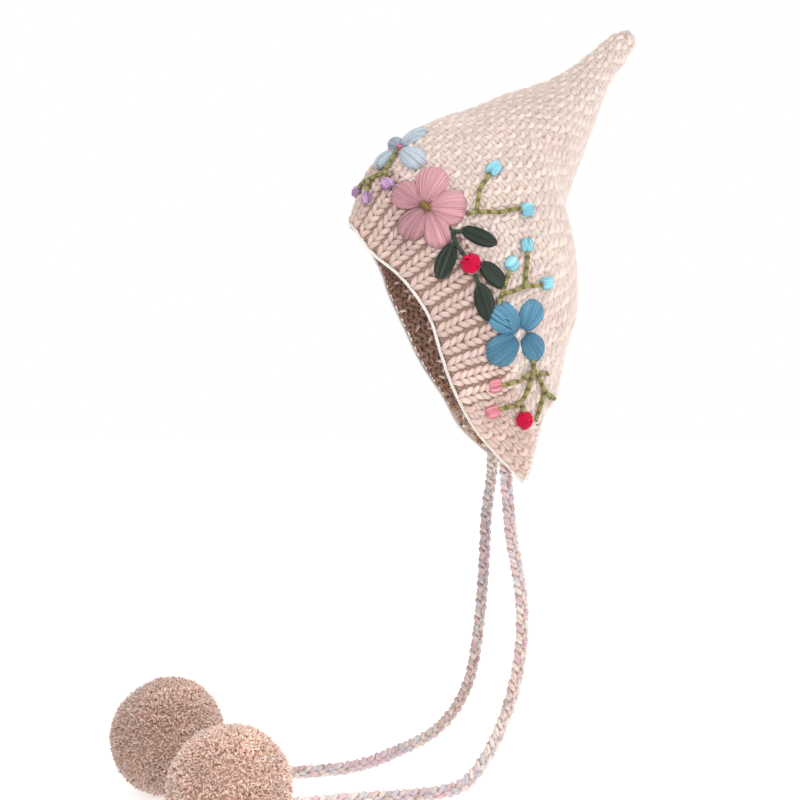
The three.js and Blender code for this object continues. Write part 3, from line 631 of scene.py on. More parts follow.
# The last number scales the pile's colours: painted shade makes the right pompom darker
POMPOMS = {
    "left": pompom("left", POMPOM_LEFT, POMPOM_DIAMETER / 2 - 1, 0.003, 1.02),
    "right": pompom("right", POMPOM_RIGHT, POMPOM_DIAMETER / 2 + 0.3, 0.0, 0.84),
}

# Crown: seed stitch. Bumps and knit Vs take turns round each ring and from ring to ring. In these tables
# across is in stitches round a ring, rise in rings, height in millimetres off the hood's outer face and thick
# in yarn radii.
STITCH_WIDTH = 4.9
ROW_HEIGHT = 6.5
ROWS_A_STEP = 4
YARN_RADIUS = 1.8
CREAM = (0.79, 0.645, 0.585)
# painted shade: the cream darkened where strands go down into the fabric, and on the sheet behind the loops
CREAM_PAINTED_SHADE = (0.60, 0.43, 0.365)
# The inner face is the cream yarn painted brown as shade; the next colour is darker painted shade where its
# strands go down into the fabric and on the sheets behind them.
INSIDE_CREAM_PAINTED_SHADE = (0.42, 0.235, 0.165)
INSIDE_DEEP_PAINTED_SHADE = (0.17, 0.085, 0.055)
# painted highlights on some strands of the band's inner face
INSIDE_GLINT = (0.92, 0.68, 0.55)
INSIDE_RADIUS = 1.25
INSIDE_RELIEF = 0.3  # of the outer face's
CROWN_BACKING = (2.0, 3.1)  # depths of its outer and inner sheet under the hood's outer face
CROWN_END = 0.994
BUMP = table("across rise height thick", [
    (-0.6, -0.66, -1.9, 0.85),
    (-0.26, -0.48, -0.8, 1.0),
    (0.06, -0.25, -0.15, 1.1),
    (0.18, 0.0, 0.0, 1.14),
    (0.06, 0.25, -0.15, 1.1),
    (-0.26, 0.48, -0.8, 1.0),
    (-0.6, 0.66, -1.9, 0.85),
])
V_LEG = table("across rise height thick", [
    (-0.7, 0.05, -1.6, 0.9),
    (-0.36, 0.15, -0.8, 1.05),
    (0.0, 0.24, -0.6, 1.1),
    (0.36, 0.27, -0.8, 1.05),
    (0.7, 0.22, -1.6, 0.9),
])
RING_SAMPLES = 361
ROWS = round(float(np.interp(0.5, MERIDIANS, CROWN_LENGTH)) / ROW_HEIGHT)


def crown_lattice():
    """Around, share up, stitch width and parity of each stitch of the crown."""
    turn = np.linspace(-1, 1, RING_SAMPLES)
    places = []
    for row in range(ROWS):
        if row % ROWS_A_STEP == 0:
            middle = min(row + ROWS_A_STEP / 2, ROWS - 1)
            around_it = way_along(crown_place(turn, (middle + 0.5) / ROWS))[-1]
            stitches = max(2 * round(around_it / STITCH_WIDTH / 2), 6)
        share = (row + 0.5) / ROWS
        way = way_along(crown_place(turn, share))
        k = np.arange(stitches)
        around = np.interp((k + 0.5) / stitches * way[-1], way, turn)
        columns = (around, np.full(stitches, share), np.full(stitches, way[-1] / stitches), (k + row) % 2)
        places.append(np.stack(columns, 1))
    return np.concatenate(places)


def with_painted_shade(shades, deep, height, depth=2.2):
    """Each strand's shade, which falls to the deep one as painted shade where the strand goes down into the
    fabric.
    """
    lift = np.clip((height + depth) / depth, 0, 1)[None, :, None]
    return shades[:, None] * lift + np.array(deep) * (1 - lift)


def laid(point, normal, shape, radius, spread, inward):
    """Middles and radii of strands on the wall's outer face, or on its inner face with a lower relief."""
    height = shape["height"] + jitter(0.12, len(point))
    radii = radius * shape["thick"] * (1 + jitter(spread, len(point)))
    depth = WALL - INSIDE_RADIUS - height * INSIDE_RELIEF if inward else radius - height
    return point - normal * depth[..., None], radii


def crown_loops(yarn, places, shape, hand, shades, deep, sides, inward=False):
    """One strand at each place of the crown, with its rise the other way where hand is -1."""
    around, share, width, _ = places.T
    count = len(around)
    across = shape["across"] * (1 + jitter(0.04, count)) + jitter(0.05, count)
    rise = hand * shape["rise"] * (1 + jitter(0.05, count)) + jitter(0.035, count)
    across = across + rise * jitter(0.2, count)
    scale = crown_frame(around, share)[1]
    a = around[:, None] + across * (width / scale)[:, None]
    point, _, normal = crown_frame(a, np.clip(share[:, None] + rise / ROWS, 0, CROWN_END))
    radius = INSIDE_RADIUS if inward else YARN_RADIUS
    centres, radii = laid(point, normal, shape, radius, 0.04, inward)
    # painted shade: strands darken where they go down into the fabric
    yarn.tubes(centres, radii, normal, with_painted_shade(shades, deep, shape["height"]), sides)


def crown_backing(yarn, columns=130, rows=54):
    """The fabric behind the loops, closed along the seam and at the tip, in colours of painted shade."""
    outer_depth, inner_depth = CROWN_BACKING
    turn = np.linspace(-1, 1, columns, endpoint=False)[None]

    def layer(depth, top):
        point, _, normal = crown_frame(turn, np.linspace(0.004, top, rows)[:, None])
        return point - normal * depth

    outer = yarn.surface(layer(outer_depth, 0.985), CREAM_PAINTED_SHADE, closed=True)
    inner = yarn.surface(layer(inner_depth, 0.93)[::-1], INSIDE_DEEP_PAINTED_SHADE, closed=True)
    bottom, top = (np.append(ring, ring[0]) for ring in (inner[-1], outer[0]))
    yarn.quads.append(np.stack([bottom[:-1], bottom[1:], top[1:], top[:-1]], -1))
    yarn.caps += [list(outer[-1]), list(inner[0][::-1])]


def make_crown():
    places = crown_lattice()
    for name, chosen in (("left", places[:, 0] >= 0), ("right", places[:, 0] < 0)):
        yarn = Yarn(f"seed_stitch_{name}")
        bumps = places[chosen & (places[:, 3] == 0)]
        vees = places[chosen & (places[:, 3] == 1)]
        crown_loops(yarn, bumps, BUMP, 1, varied(CREAM, len(bumps)), CREAM_PAINTED_SHADE, 8)
        for hand in (-1, 1):
            crown_loops(yarn, vees, V_LEG, hand, varied(CREAM, len(vees)), CREAM_PAINTED_SHADE, 7)
        yarn.build(KNIT_WOOL, "crown_knit", "crown")
    # The inner face, in cream yarn painted brown as shade
    yarn = Yarn("crown_inside")
    inside = places[places[:, 3] == 1]
    shades = varied(INSIDE_CREAM_PAINTED_SHADE, len(inside), 0.1)
    short = {key: column[::2] for key, column in BUMP.items()}
    crown_loops(yarn, inside, short, 1, shades, INSIDE_DEEP_PAINTED_SHADE, 5, inward=True)
    crown_backing(yarn)
    yarn.build(KNIT_WOOL, "crown_knit", "crown")


make_crown()

# Face band: chains of knit Vs side by side, with purl grooves between them, and seed stitch at the flaps'
# ends. In these tables across is in rib pitches from the middle of the rib or groove, and rise in V heights.
FACE_EDGE_HALF = float(way_along(edge_at(np.linspace(0, FLAP, 61), False))[-1])
RIBS = 2 * round(FACE_EDGE_HALF / RIB_PITCH)
FLAP_ROW = 5.6
RIB_STEP = 2 * FLAP / RIBS
PLAIN_RIBS = 3  # ribs' widths of plain seed stitch at each flap's end
FLAP_START = FLAP - PLAIN_RIBS * RIB_STEP
V_HEIGHT = 4.9
V_ROWS = round(BAND_WIDTH / V_HEIGHT)
# painted shade: the band and the flaps' ends are the crown's cream yarn painted darker, and darker still
# where strands go down into the fabric and on the sheet behind them
BAND_CREAM_PAINTED_SHADE = (0.63, 0.475, 0.425)
BAND_PAINTED_SHADE = (0.36, 0.235, 0.19)
FLAP_CREAM_PAINTED_SHADE = (0.555, 0.41, 0.36)
LOW_PAINTED_LIGHT = 0.26  # painted light: how much lighter the yarn is painted on the lower part of each side
# share of the inner face's strands that get painted highlights
GLINT_SHARE = 0.17
BAND_BACKING = (2.5, 3.2)
RIB_RADIUS = 1.75
RIB_LEG = table("across rise height thick", [
    (0.03, -0.72, -1.8, 0.8),
    (0.09, -0.42, -0.5, 0.96),
    (0.17, -0.08, 0.0, 1.05),
    (0.25, 0.24, -0.1, 1.05),
    (0.31, 0.52, -0.7, 0.95),
    (0.33, 0.78, -1.8, 0.8),
])
GROOVE = table("across rise height thick", [
    (-0.14, 0.1, -2.2, 0.7),
    (-0.05, -0.12, -1.6, 0.85),
    (0.05, -0.12, -1.6, 0.85),
    (0.14, 0.1, -2.2, 0.7),
])


def rib_places(shift, limit):
    """Around, up and the steps of each, for the stitches of ribs that start a share of a rib further on."""
    around = -FLAP + RIB_STEP * (np.arange(-1, RIBS) + 0.5 + shift)
    around = around[np.abs(around) < limit]
    a, u = (v.ravel() for v in np.meshgrid(around, -1 + (np.arange(V_ROWS) + 0.62) / V_ROWS, indexing="ij"))
    return np.stack([a, u, np.full_like(a, RIB_STEP), np.full_like(a, 1 / V_ROWS)], 1)


def flap_places():
    """Around, up, the steps of each and parity, for the seed stitches at the flaps' ends."""
    middle = hood(np.linspace(FLAP_START, FLAP, 30), -0.5)
    columns = round(float(way_along(middle)[-1]) / STITCH_WIDTH)
    step = (FLAP - FLAP_START) / columns
    places = []
    for column in range(columns):
        around = FLAP_START + step * (column + 0.5)
        rows = round(float(np.linalg.norm(hood(around, -1) - hood(around, 0))) / FLAP_ROW)
        for row in range(rows):
            places.append((around, -1 + (row + 0.5) / rows, step, 1 / rows, (column + row) % 2))
    places = np.array(places)
    return np.concatenate([places, places * (-1, 1, 1, 1, 1)])


def band_loops(yarn, places, shape, hand, radius, colour, deep, sides, inward=False):
    """One strand at each place of the band, with its across the other way where hand is -1."""
    around, up, step, rise_step = (column[:, None] for column in places.T[:4])
    count = len(around)
    # painted light on the lower part of each side
    painted_light = 1 + LOW_PAINTED_LIGHT * np.clip((np.abs(around) - 0.5) / 0.15, 0, 1)
    across = hand * shape["across"] * (1 + jitter(0.06, count)) + jitter(0.02, count)
    rise = shape["rise"] + jitter(0.06, count)
    around = np.clip(around + step * across, -FLAP, FLAP)
    point, _, _, normal = hood_frame(around, np.clip(up + rise_step * rise, -0.995, -0.002))
    centres, radii = laid(point, normal, shape, radius, 0.05, inward)
    shades = varied(colour, count)
    if inward:
        # painted highlights on some strands of the inner face
        glint = RNG.random(count) < GLINT_SHARE
        shades[glint] = varied(INSIDE_GLINT, int(glint.sum()), 0.08)
    # painted shade where strands go down into the fabric
    yarn.tubes(centres, radii, normal, with_painted_shade(shades * painted_light, deep, shape["height"], 1.8), sides)


def band_backing(yarn, columns=150, rows=12):
    """The fabric behind the ribs, closed all round, in colours of painted shade."""
    outer_depth, inner_depth = BAND_BACKING
    turn = np.linspace(-FLAP + SHORT_STEP, FLAP - SHORT_STEP, columns)[None]
    point, _, _, normal = hood_frame(turn, np.linspace(-0.985, -0.002, rows)[:, None])
    outer = yarn.surface(point - normal * outer_depth, BAND_PAINTED_SHADE)
    inner = yarn.surface((point - normal * inner_depth)[::-1], INSIDE_DEEP_PAINTED_SHADE)[::-1]
    rim, back = (np.concatenate([v[0, :-1], v[:-1, -1], v[-1, :0:-1], v[:0:-1, 0]]) for v in (outer, inner))
    yarn.quads.append(np.stack([back, np.roll(back, -1), np.roll(rim, -1), rim], -1))


def make_band():
    yarn = Yarn("rib_stitches")
    ribs = rib_places(0, FLAP_START)
    grooves = rib_places(0.5, FLAP_START + SHORT_STEP)
    flap = flap_places()
    bumps, vees = flap[flap[:, 4] == 0], flap[flap[:, 4] == 1]
    for hand in (-1, 1):
        band_loops(yarn, ribs, RIB_LEG, hand, RIB_RADIUS, BAND_CREAM_PAINTED_SHADE, BAND_PAINTED_SHADE, 8)
        leg = vees * (1, 1, hand, hand, 1)  # steps that count backwards turn the other leg half round
        band_loops(yarn, leg, V_LEG, 1, YARN_RADIUS, FLAP_CREAM_PAINTED_SHADE, CREAM_PAINTED_SHADE, 7)
    band_loops(yarn, grooves, GROOVE, 1, RIB_RADIUS, BAND_CREAM_PAINTED_SHADE, BAND_PAINTED_SHADE, 6)
    band_loops(yarn, bumps, BUMP, 1, YARN_RADIUS, FLAP_CREAM_PAINTED_SHADE, CREAM_PAINTED_SHADE, 8)
    yarn.build(KNIT_WOOL, "band_knit", "face_band")
    # The inner face, in cream yarn painted brown as shade, with painted highlights
    yarn = Yarn("band_inside")
    inside = rib_places(0.5, FLAP)
    for hand in (-1, 1):
        band_loops(yarn, inside, RIB_LEG, hand, INSIDE_RADIUS, INSIDE_CREAM_PAINTED_SHADE, INSIDE_DEEP_PAINTED_SHADE, 5, inward=True)
    band_backing(yarn)
    yarn.build(KNIT_WOOL, "band_knit", "face_band")


make_band()


def rope(yarn, path, at, diameter, pitch, tint, sides=5):
    """Two plies twisted round each other along a path, with a tint for each step."""
    side, rise = side_frame(path)
    ply = diameter * 0.29
    for k in range(2):
        turn = 2 * math.pi * (at / pitch + k / 2)
        line = path + circled(side, rise, turn[:, None]) * (diameter / 2 - ply)
        yarn.tubes(line[None], ply * 1.1, side[None], tint[None], sides)


# Edges: a bound-off edge round the face, of cream yarn painted paler as a highlight, and a cream one along
# the neck and the flaps' ends
EDGING_DIAMETER = 3.2
EDGING_ROPE = EDGING_DIAMETER * 0.78
EDGING_PITCH = 3.6
NECK_ROPE = 4.4
NECK_PITCH = 7.5
EDGE_CREAM_PAINTED_HIGHLIGHT = (0.87, 0.75, 0.69)
EDGE_STEPS = 90


def make_edges():
    turn = np.linspace(-FLAP, FLAP, EDGE_STEPS)
    point, _, _, normal = hood_frame(turn, -1)
    out = unit(hood(turn, -1) - hood(turn, -1 + SEAM_STEP))
    path, at = smooth_path(point - normal * WALL / 2 + out * (EDGING_DIAMETER / 2 - 0.2), 1.0)
    yarn = Yarn("bound_edge")
    rope(yarn, path, at, EDGING_ROPE, EDGING_PITCH, varied(EDGE_CREAM_PAINTED_HIGHLIGHT, len(at), 0.02), sides=6)
    yarn.build(KNIT_WOOL, "edging_yarn", "face_edging")
    climb = np.linspace(-0.94, -0.06, 12)
    neck = np.linspace(FLAP + 0.012, 1, 24)
    around = np.concatenate([np.full(12, FLAP), neck, -neck[-2::-1], np.full(12, -FLAP)])
    up = np.concatenate([climb, np.zeros(47), climb[::-1]])
    point, side, rise, normal = hood_frame(around, up)
    down = np.where((up < 0)[:, None], unit(side) * np.sign(around)[:, None], -unit(rise))
    path, at = smooth_path(point - normal * WALL / 2 + down * 0.6, 1.2)
    yarn = Yarn("neck_edge")
    rope(yarn, path, at, NECK_ROPE, NECK_PITCH, varied(CREAM, len(at), 0.04), sides=6)
    yarn.build(KNIT_WOOL, "crown_knit")


make_edges()

# Embroidery, on the wearer's left. Motifs lie from one place (around, up) to another and are as wide as given
# after the two, in millimetres. A petal's last number is the level of its shades, below 1 where the petal is
# painted darker as shade.
LIFT = 0.65
PETAL_HEIGHT = 3.6
PETAL_FAN = 0.74  # half turns that its strands' ends take up each way
PETAL_PROUD = 1.16  # width of the strands' ends in petal widths
PETAL_FLARE = 0.25  # how much wider a petal is at its outer end
LEAF_HEIGHT = 2.6
BUD_HEIGHT = 3.2
BUD_SHARE = 0.9  # of its width that its strands' middles take up
BERRY_HEIGHT = 5.5
HEART_HEIGHT = 2.6
YARNS = {  # colour, and the deep colour: painted shade between and under its strands, also mixed in at random
    "rose": ((0.715, 0.385, 0.415), (0.44, 0.20, 0.235)),
    "pale_blue": ((0.60, 0.67, 0.745), (0.42, 0.50, 0.58)),
    "blue": ((0.14, 0.335, 0.48), (0.06, 0.17, 0.27)),
    "dark_green": ((0.054, 0.072, 0.054), (0.014, 0.02, 0.016)),
    "red": ((0.66, 0.005, 0.055), (0.30, 0.004, 0.03)),
    "sky": ((0.38, 0.74, 0.86), (0.20, 0.50, 0.62)),
    "coral": ((0.86, 0.36, 0.41), (0.55, 0.15, 0.2)),
    "lilac": ((0.55, 0.35, 0.56), (0.34, 0.19, 0.38)),
    "gold": ((0.30, 0.19, 0.07), (0.13, 0.07, 0.03)),
    "olive": ((0.34, 0.31, 0.12), (0.10, 0.085, 0.03)),
}

PETALS = {
    "rose_petal_1": ((0.22, -0.002), (0.206, 0.086), 18, 1.0),
    "rose_petal_2": ((0.246, -0.01), (0.304, 0.062), 18, 1.0),
    "rose_petal_3": ((0.252, -0.115), (0.314, -0.292), 14, 0.92),
    "rose_petal_4": ((0.232, -0.17), (0.24, -0.58), 15, 0.72),
    "rose_petal_5": ((0.21, -0.12), (0.154, -0.196), 14.5, 0.84),
    "pale_petal_1": ((0.108, 0.062), (0.172, 0.068), 11, 0.9),
    "pale_petal_2": ((0.09, 0.086), (0.098, 0.158), 8.5, 1.0),
    "pale_petal_3": ((0.084, 0.044), (0.066, -0.09), 9, 0.9),
    "pale_petal_4": ((0.076, 0.074), (0.026, 0.092), 7.5, 0.7),
    "blue_petal_1": ((0.558, 0.026), (0.478, -0.118), 15, 1.0),
    "blue_petal_2": ((0.58, 0.052), (0.58, 0.112), 13, 1.0),
    "blue_petal_3": ((0.574, 0.02), (0.568, -0.382), 15, 0.78),
    "blue_petal_4": ((0.598, 0.05), (0.694, 0.08), 13, 0.85),
}
PETAL_YARNS = {  # with the roots' reach, in half lengths, and their width, in half widths
    "rose": ("rose", 1.16, 0.26),
    "pale": ("pale_blue", 1.1, 0.3),
    "blue": ("blue", 0.93, 0.42),
}
LEAVES = {
    "leaf_1": ((0.326, 0.02), (0.398, 0.068), 8.5),
    "leaf_2": ((0.328, -0.21), (0.364, -0.592), 11),
    "leaf_3": ((0.402, 0.008), (0.464, 0.03), 10),
    "leaf_4": ((0.428, -0.17), (0.49, -0.222), 11),
}
BERRIES = {
    "berry_1": ((0.366, -0.034), (0.396, -0.196), 12.5),
    "berry_2": ((0.71, -0.004), (0.732, -0.196), 11),
}
BUDS = {
    "sky_bud_1": ((0.298, 0.182), (0.296, 0.218), 7.5),
    "sky_bud_2": ((0.398, 0.188), (0.41, 0.218), 7.5),
    "sky_bud_3": ((0.454, 0.066), (0.458, 0.096), 7.5),
    "sky_bud_4": ((0.466, 0.14), (0.448, 0.152), 7.5),
    "sky_bud_5": ((0.554, 0.14), (0.574, 0.17), 7),
    "coral_bud_1": ((0.63, -0.298), (0.628, -0.472), 7),
    "coral_bud_2": ((0.678, -0.49), (0.678, -0.694), 7.5),
    "lilac_bud_1": ((0.122, -0.214), (0.142, -0.226), 6.5),
    "lilac_bud_2": ((0.092, -0.526), (0.112, -0.61), 6),
    "lilac_bud_3": ((0.034, -0.466), (0.006, -0.538), 5),
}
HEARTS = {
    "rose_heart": ((0.222, -0.088), (0.242, -0.08), 5, *YARNS["gold"], "gold_yarn"),
    "pale_heart": ((0.086, 0.068), (0.1, 0.068), 3, (0.55, 0.2, 0.27), YARNS["rose"][1], "rose_yarn"),
}
STEM_DIAMETER = 2.2
STEM_ROPE = STEM_DIAMETER * 1.4
STEM_PITCH = 4.2
STEMS = {  # runs: how far before its last place each meets a bud, and its places
    "lilac_stem": [
        (0, [(0.095, 0.05), (0.103, 0.02), (0.108, -0.01)]),
        (4.2, [(0.108, -0.01), (0.104, -0.16), (0.076, -0.32), (0.09, -0.47), (0.102, -0.57)]),
        (3.7, [(0.105, -0.1), (0.12, -0.13), (0.132, -0.22)]),
        (4.8, [(0.08, -0.3), (0.05, -0.38), (0.02, -0.5)]),
    ],
    "upper_stem": [
        (4.9, [(0.316, 0.056), (0.332, 0.08), (0.368, 0.13), (0.388, 0.18), (0.404, 0.203)]),
        (5, [(0.332, 0.08), (0.308, 0.13), (0.302, 0.17), (0.297, 0.2)]),
    ],
    "leaf_stem_1": [
        (7.6, [(0.297, -0.05), (0.312, -0.07), (0.33, -0.12), (0.35, -0.13), (0.381, -0.115)]),
        (0.6, [(0.306, -0.06), (0.314, -0.01), (0.326, 0.02)]),
        (0.9, [(0.326, -0.11), (0.326, -0.15), (0.328, -0.21)]),
    ],
    "leaf_stem_2": [(0.6, [(0.404, -0.145), (0.414, -0.16), (0.428, -0.17)])],
    "middle_stem": [
        (4.9, [(0.482, -0.014), (0.476, 0.01), (0.464, 0.05), (0.456, 0.081)]),
        (4.9, [(0.474, 0.018), (0.49, 0.045), (0.516, 0.09), (0.548, 0.13), (0.564, 0.155)]),
        (4.6, [(0.514, 0.087), (0.492, 0.11), (0.476, 0.13), (0.457, 0.146)]),
    ],
    "lower_stem": [
        (0, [(0.634, 0.054), (0.67, 0.056), (0.689, 0.054)]),
        (4.4, [(0.688, 0.054), (0.664, 0.027), (0.64, -0.01), (0.632, -0.256), (0.628, -0.382)]),
        (6.6, [(0.689, 0.054), (0.688, 0.036), (0.695, 0.022), (0.688, 0.0), (0.706, -0.02), (0.723, -0.08)]),
        (4.6, [(0.69, 0.006), (0.683, -0.226), (0.676, -0.422), (0.678, -0.577)]),
        (0, [(0.689, 0.054), (0.728, 0.058), (0.751, 0.058), (0.767, 0.061), (0.797, 0.057), (0.823, 0.045),
             (0.857, 0.028), (0.881, 0.013)]),
        (0, [(0.712, 0.058), (0.729, 0.073), (0.743, 0.081)]),
        (0, [(0.7505, 0.054), (0.75, 0.038), (0.749, 0.014)]),
    ],
}
TUCK = 2.0  # how far a stem's end goes on under its bud
SEAT_ROUNDS = 7


def seat(target, guess):
    """Places of the hood nearest to the points, found from a first guess."""
    around, up = (np.full(target.shape[:-1], float(g)) for g in guess)
    for _ in range(SEAT_ROUNDS):
        point, side, rise, _ = hood_frame(around, up)
        off = target - point
        aa, ab, bb = (side * side).sum(-1), (side * rise).sum(-1), (rise * rise).sum(-1)
        pa, pb = (off * side).sum(-1), (off * rise).sum(-1)
        det = aa * bb - ab * ab
        around = around + (pa * bb - pb * ab) / det
        up = np.clip(up + (pb * aa - pa * ab) / det, -1, 0.98)
    return around, up


class Patch:
    """The ground under a motif. Lengths along and across it are in millimetres from its middle."""

    def __init__(self, start, end):
        ends = hood(np.array([start[0], end[0]]), np.array([start[1], end[1]]))
        self.middle = ((start[0] + end[0]) / 2, (start[1] + end[1]) / 2)
        self.centre = ends.mean(0)
        self.length = float(np.linalg.norm(ends[1] - ends[0]))
        self.axis = (ends[1] - ends[0]) / self.length
        self.normal = hood_frame(*seat(self.centre, self.middle))[3]
        self.across = unit(np.cross(self.normal, self.axis))

    def at(self, along_it, across_it, height):
        target = self.centre + along_it[..., None] * self.axis + across_it[..., None] * self.across
        point, _, _, normal = hood_frame(*seat(target, self.middle))
        return point + normal * height[..., None], normal


def shaded(colour, deep, count, steps, root_painted_shade, spread=0.45):
    """Shades for strands, each darker at random by up to the spread, and by the given share at their roots as
    painted shade.
    """
    rootward = 1 - np.linspace(0, 1, steps)[None, :, None]
    mix = np.clip(RNG.uniform(0, spread, (count, 1, 1)) + root_painted_shade * rootward**2.2, 0, 1)
    return (np.array(colour) * (1 - mix) + np.array(deep) * mix) * (1 + RNG.normal(0, 0.09, (count, 1, 1)))


def petal(name, start, end, width, level):
    """Satin stitches that fan out of the flower's heart over a padded dome."""
    kind, root_reach, root_width = PETAL_YARNS[name.split("_")[0]]
    patch = Patch(start, end)
    half, wide = patch.length / 2 + 0.7, width / 2 * PETAL_PROUD
    yarn = Yarn(f"{name}_stitches")
    for strands, drop, thick in ((18, 0.8, 1.3), (round(width * 2.3), 0.0, 0.8)):
        turn = np.linspace(-PETAL_FAN, PETAL_FAN, strands)[:, None] * math.pi
        turn = turn + jitter(0.02, strands)
        t = np.linspace(0, 1, 8)[None]
        rim_along = half * np.cos(turn) * (1 + jitter(0.02, strands))
        rim_across = wide * np.sin(turn) * (1 + PETAL_FLARE * np.cos(turn))
        root_across = wide * root_width * np.sin(turn)
        root_along = -half * (root_reach + 0.06 * np.cos(turn))
        x = root_along + (rim_along - root_along) * t
        y = root_across + (rim_across - root_across) * np.sin(t * math.pi / 2) ** 1.15
        inside = 1 - (x / half) ** 2 - (y / (wide * (1 + PETAL_FLARE * x / half))) ** 2
        dome = PETAL_HEIGHT * np.sqrt(np.clip(inside, 0, 1))
        height = LIFT * 0.5 + dome - drop + jitter(0.1, strands) - 0.8 * t**12
        centres, normals = patch.at(x, y, height)
        radii = thick * (0.6 + 0.4 * np.sin(t * math.pi * 0.6) ** 0.8) * (1 + jitter(0.08, strands))
        # painted shade: the level darkens some petals, and the lower layer is darker under the top strands
        tint = shaded(*YARNS[kind], strands, 8, 0.62, 0.42) * level * (0.88 if drop else 1)
        yarn.tubes(centres, radii, normals, tint, sides=5)
    yarn.build(EMBROIDERY_WOOL, f"{kind}_yarn", name)


def spindle(name, start, end, width, height, strands, thick, pinch, colour, deep, slot, slack=0.5):
    """Long stitches side by side over a padded spindle, pointed where pinch is high."""
    patch = Patch(start, end)
    yarn = Yarn(f"{name}_stitches")
    # painted shade: the lower layer of strands, under the top ones, is darker
    for count, drop, size, dim in ((max(strands // 2, 3), 0.7, thick * 1.4, 0.7), (strands, 0.0, thick, 1)):
        v = np.linspace(-0.9, 0.9, count)[:, None] + jitter(0.03, count)
        turn = np.linspace(0.03, 0.97, 9)[None] * math.pi
        bow = np.sin(turn) ** pinch
        x = -np.cos(turn) * (patch.length / 2 + slack) + jitter(0.3, count)
        y = v * (width / 2) * bow
        dome = height * np.sqrt(1 - np.clip(np.abs(v), 0, 0.97) ** 2) * np.sin(turn) ** 0.6
        centres, normals = patch.at(x, y, LIFT * 0.4 + dome - drop)
        radii = size * (0.55 + 0.45 * np.sin(turn) ** 0.5) * (1 + jitter(0.08, count))
        yarn.tubes(centres, radii, normals, shaded(colour, deep, count, 9, 0.25, 0.75) * dim, sides=6)
    yarn.build(EMBROIDERY_WOOL, slot, name)


def berry(name, start, end, width):
    """Yarn wound over and over a small dome."""
    patch = Patch(start, end)
    yarn = Yarn(f"{name}_stitches")
    axes = np.stack([patch.axis, patch.across, patch.normal])
    reach = np.array([patch.length / 2, width / 2, BERRY_HEIGHT - 0.6])
    ground = patch.at(np.zeros(1), np.zeros(1), np.full(1, LIFT * 0.5))[0][0]
    # painted shade: the ball under the wound yarn is in the darker colour
    yarn.ball(ground, reach * 0.86, YARNS["red"][1], axes)
    turns = 20
    spin = np.arange(turns) * 2.4 + RNG.normal(0, 0.2, turns)
    tilt = RNG.uniform(-0.85, 0.85, turns)
    swing = np.linspace(-1.35, 1.35, 11)[None] * np.sqrt(1 - tilt**2)[:, None]
    direction = np.stack([np.cos(spin), np.sin(spin)], -1)
    square = np.stack([-np.sin(spin), np.cos(spin)], -1)
    ring = np.sqrt(1 - tilt**2)[:, None]
    flat = direction[:, None] * (np.sin(swing) * ring)[..., None] + square[:, None] * tilt[:, None, None]
    local = np.concatenate([flat, (np.cos(swing) * ring)[..., None]], -1)
    local = local * (reach * RNG.uniform(0.94, 1.04, (turns, 1, 1)))
    centres = ground + local @ axes
    normals = unit(local / reach) @ axes
    yarn.tubes(centres, 0.98, normals, shaded(*YARNS["red"], turns, 11, 0.1), sides=6)
    yarn.build(EMBROIDERY_WOOL, "red_yarn", name)


def stem(name, runs):
    """Twisted yarn along each run of a stem."""
    green = name.startswith("leaf")
    kind = "dark_green" if green else "olive"
    colour, deep = (np.array(shade) for shade in YARNS[kind])
    yarn = Yarn(f"{name}_stitches")
    for stop, places in runs:
        a, u = (np.interp(np.linspace(0, 1, 2 * len(places) - 1), np.linspace(0, 1, len(places)), column)
                for column in np.array(places).T)
        path, at = smooth_path(off_hood(a, u, np.full(len(a), LIFT + STEM_DIAMETER * 0.3)), 0.8)
        kept = at <= at[-1] - max(stop - TUCK, 0)
        path, at = path[kept], at[kept]
        dark = np.clip(np.sin(at * 0.95 + RNG.random() * 6) + 0.1, 0, 1)[:, None] * (0.3 if green else 0.8)
        tint = (colour * (1 - dark) + deep * dark) * (1 + jitter(0.08, len(at)))
        rope(yarn, path, at, STEM_ROPE, STEM_PITCH, tint)
    yarn.build(EMBROIDERY_WOOL, f"{kind}_yarn", name)


KNOT_PLACE = (-0.43, -0.45)
KNOT_SIZE = 5.5


def inner_knot():
    """The end of a green thread, knotted inside the right side of the band."""
    yarn = Yarn("inner_knot_stitches")
    centre = off_hood(*(np.full(1, p) for p in KNOT_PLACE), np.full(1, -WALL - 0.4 - KNOT_SIZE / 2))[0]
    turns = 9
    axis = unit(RNG.normal(0, 1, (turns, 3)))
    one = unit(np.cross(axis, RNG.normal(0, 1, (turns, 3))))
    two = np.cross(axis, one)
    swing = np.linspace(0, 5.4, 14)[None, :, None]
    way = circled(one[:, None], two[:, None], swing)
    lines = centre + way * (KNOT_SIZE / 2 - 0.7)
    yarn.tubes(lines, 0.75, way, shaded(*YARNS["dark_green"], turns, 14, 0.1), sides=5)
    yarn.build(EMBROIDERY_WOOL, "dark_green_yarn", "inner_knot")


def make_embroidery():
    for name, runs in STEMS.items():
        stem(name, runs)
    for name, place in PETALS.items():
        petal(name, *place)
    for name, place in LEAVES.items():
        spindle(name, *place, LEAF_HEIGHT, 8, 1.05, 1.1, *YARNS["dark_green"], "dark_green_yarn", slack=0.9)
    for name, place in BERRIES.items():
        berry(name, *place)
    for name, (start, end, width) in BUDS.items():
        yarn = name.split("_")[0]
        ends = (start, end, width * BUD_SHARE)
        spindle(name, *ends, BUD_HEIGHT, 5, 1.15, 0.35, *YARNS[yarn], f"{yarn}_yarn", slack=0)
    for name, (start, end, width, *yarn) in HEARTS.items():
        spindle(name, start, end, width, HEART_HEIGHT, 5, 0.6, 0.4, *yarn)
    inner_knot()


make_embroidery()

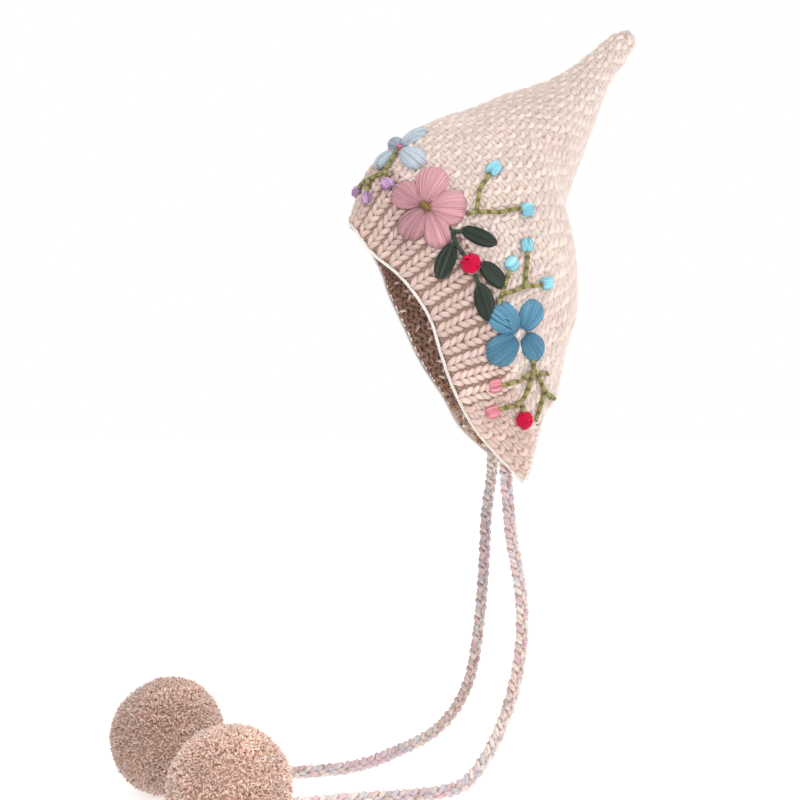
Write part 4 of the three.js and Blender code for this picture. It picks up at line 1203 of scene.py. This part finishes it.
# Floor and light, in metres
FLOOR_SIDE = 12.0
FLOOR_DROP = 0.0002
WORLD_LEVEL = 0.83
WORLD_LEVEL_SEEN = 1.0


def make_stage():
    mesh = bpy.data.meshes.new("floor")
    half = FLOOR_SIDE / 2
    corners = [(-half, -half), (half, -half), (half, half), (-half, half)]
    mesh.from_pydata([(x, y, FLOOR * MM - FLOOR_DROP) for x, y in corners], [], [(0, 1, 2, 3)])
    floor = placed("floor", mesh)
    n = Nodes("floor_paint")
    n.shade(Base_Color=(0.85, 0.85, 0.85, 1), Roughness=0.9, Specular_IOR_Level=0.0)
    n.shade(Emission_Color=(1, 1, 1, 1), Emission_Strength=0.55)
    mesh.materials.append(n.material)


def lamp(kind, name, place, target, power, **settings):
    data = bpy.data.lights.new(name, kind)
    data.energy = power
    for key, value in settings.items():
        setattr(data, key, value)
    thing = placed(name, data)
    thing.location = Vector(place)
    thing.rotation_euler = (Vector(target) - Vector(place)).to_track_quat("-Z", "Y").to_euler()


def make_light():
    world = bpy.data.worlds.new("studio")
    bpy.context.scene.world = world
    world.use_nodes = True
    nodes, links = world.node_tree.nodes, world.node_tree.links
    background = nodes["Background"]
    background.inputs["Color"].default_value = (1, 1, 1, 1)
    path = nodes.new("ShaderNodeLightPath")
    level = nodes.new("ShaderNodeMapRange")
    level.inputs[3].default_value = WORLD_LEVEL
    level.inputs[4].default_value = WORLD_LEVEL_SEEN
    links.new(path.outputs["Is Camera Ray"], level.inputs[0])
    links.new(level.outputs["Result"], background.inputs["Strength"])
    lamp("AREA", "key", (0.7, 1.1, 1.5), (0, 0, -0.1), 3, size=1.4)
    lamp("AREA", "fill", (1.6, 0.1, 0.4), (0, 0, -0.1), 6, size=1.4)
    lamp("SPOT", "pompom_spot", (0.45, 0.15, 0.5), (0.09, -0.17, -0.37), 22,
         spot_size=math.radians(25), spot_blend=0.6, shadow_soft_size=0.12)
    view = bpy.context.scene.view_settings
    view.view_transform = "Standard"
    view.look = "None"


make_stage()
make_light()
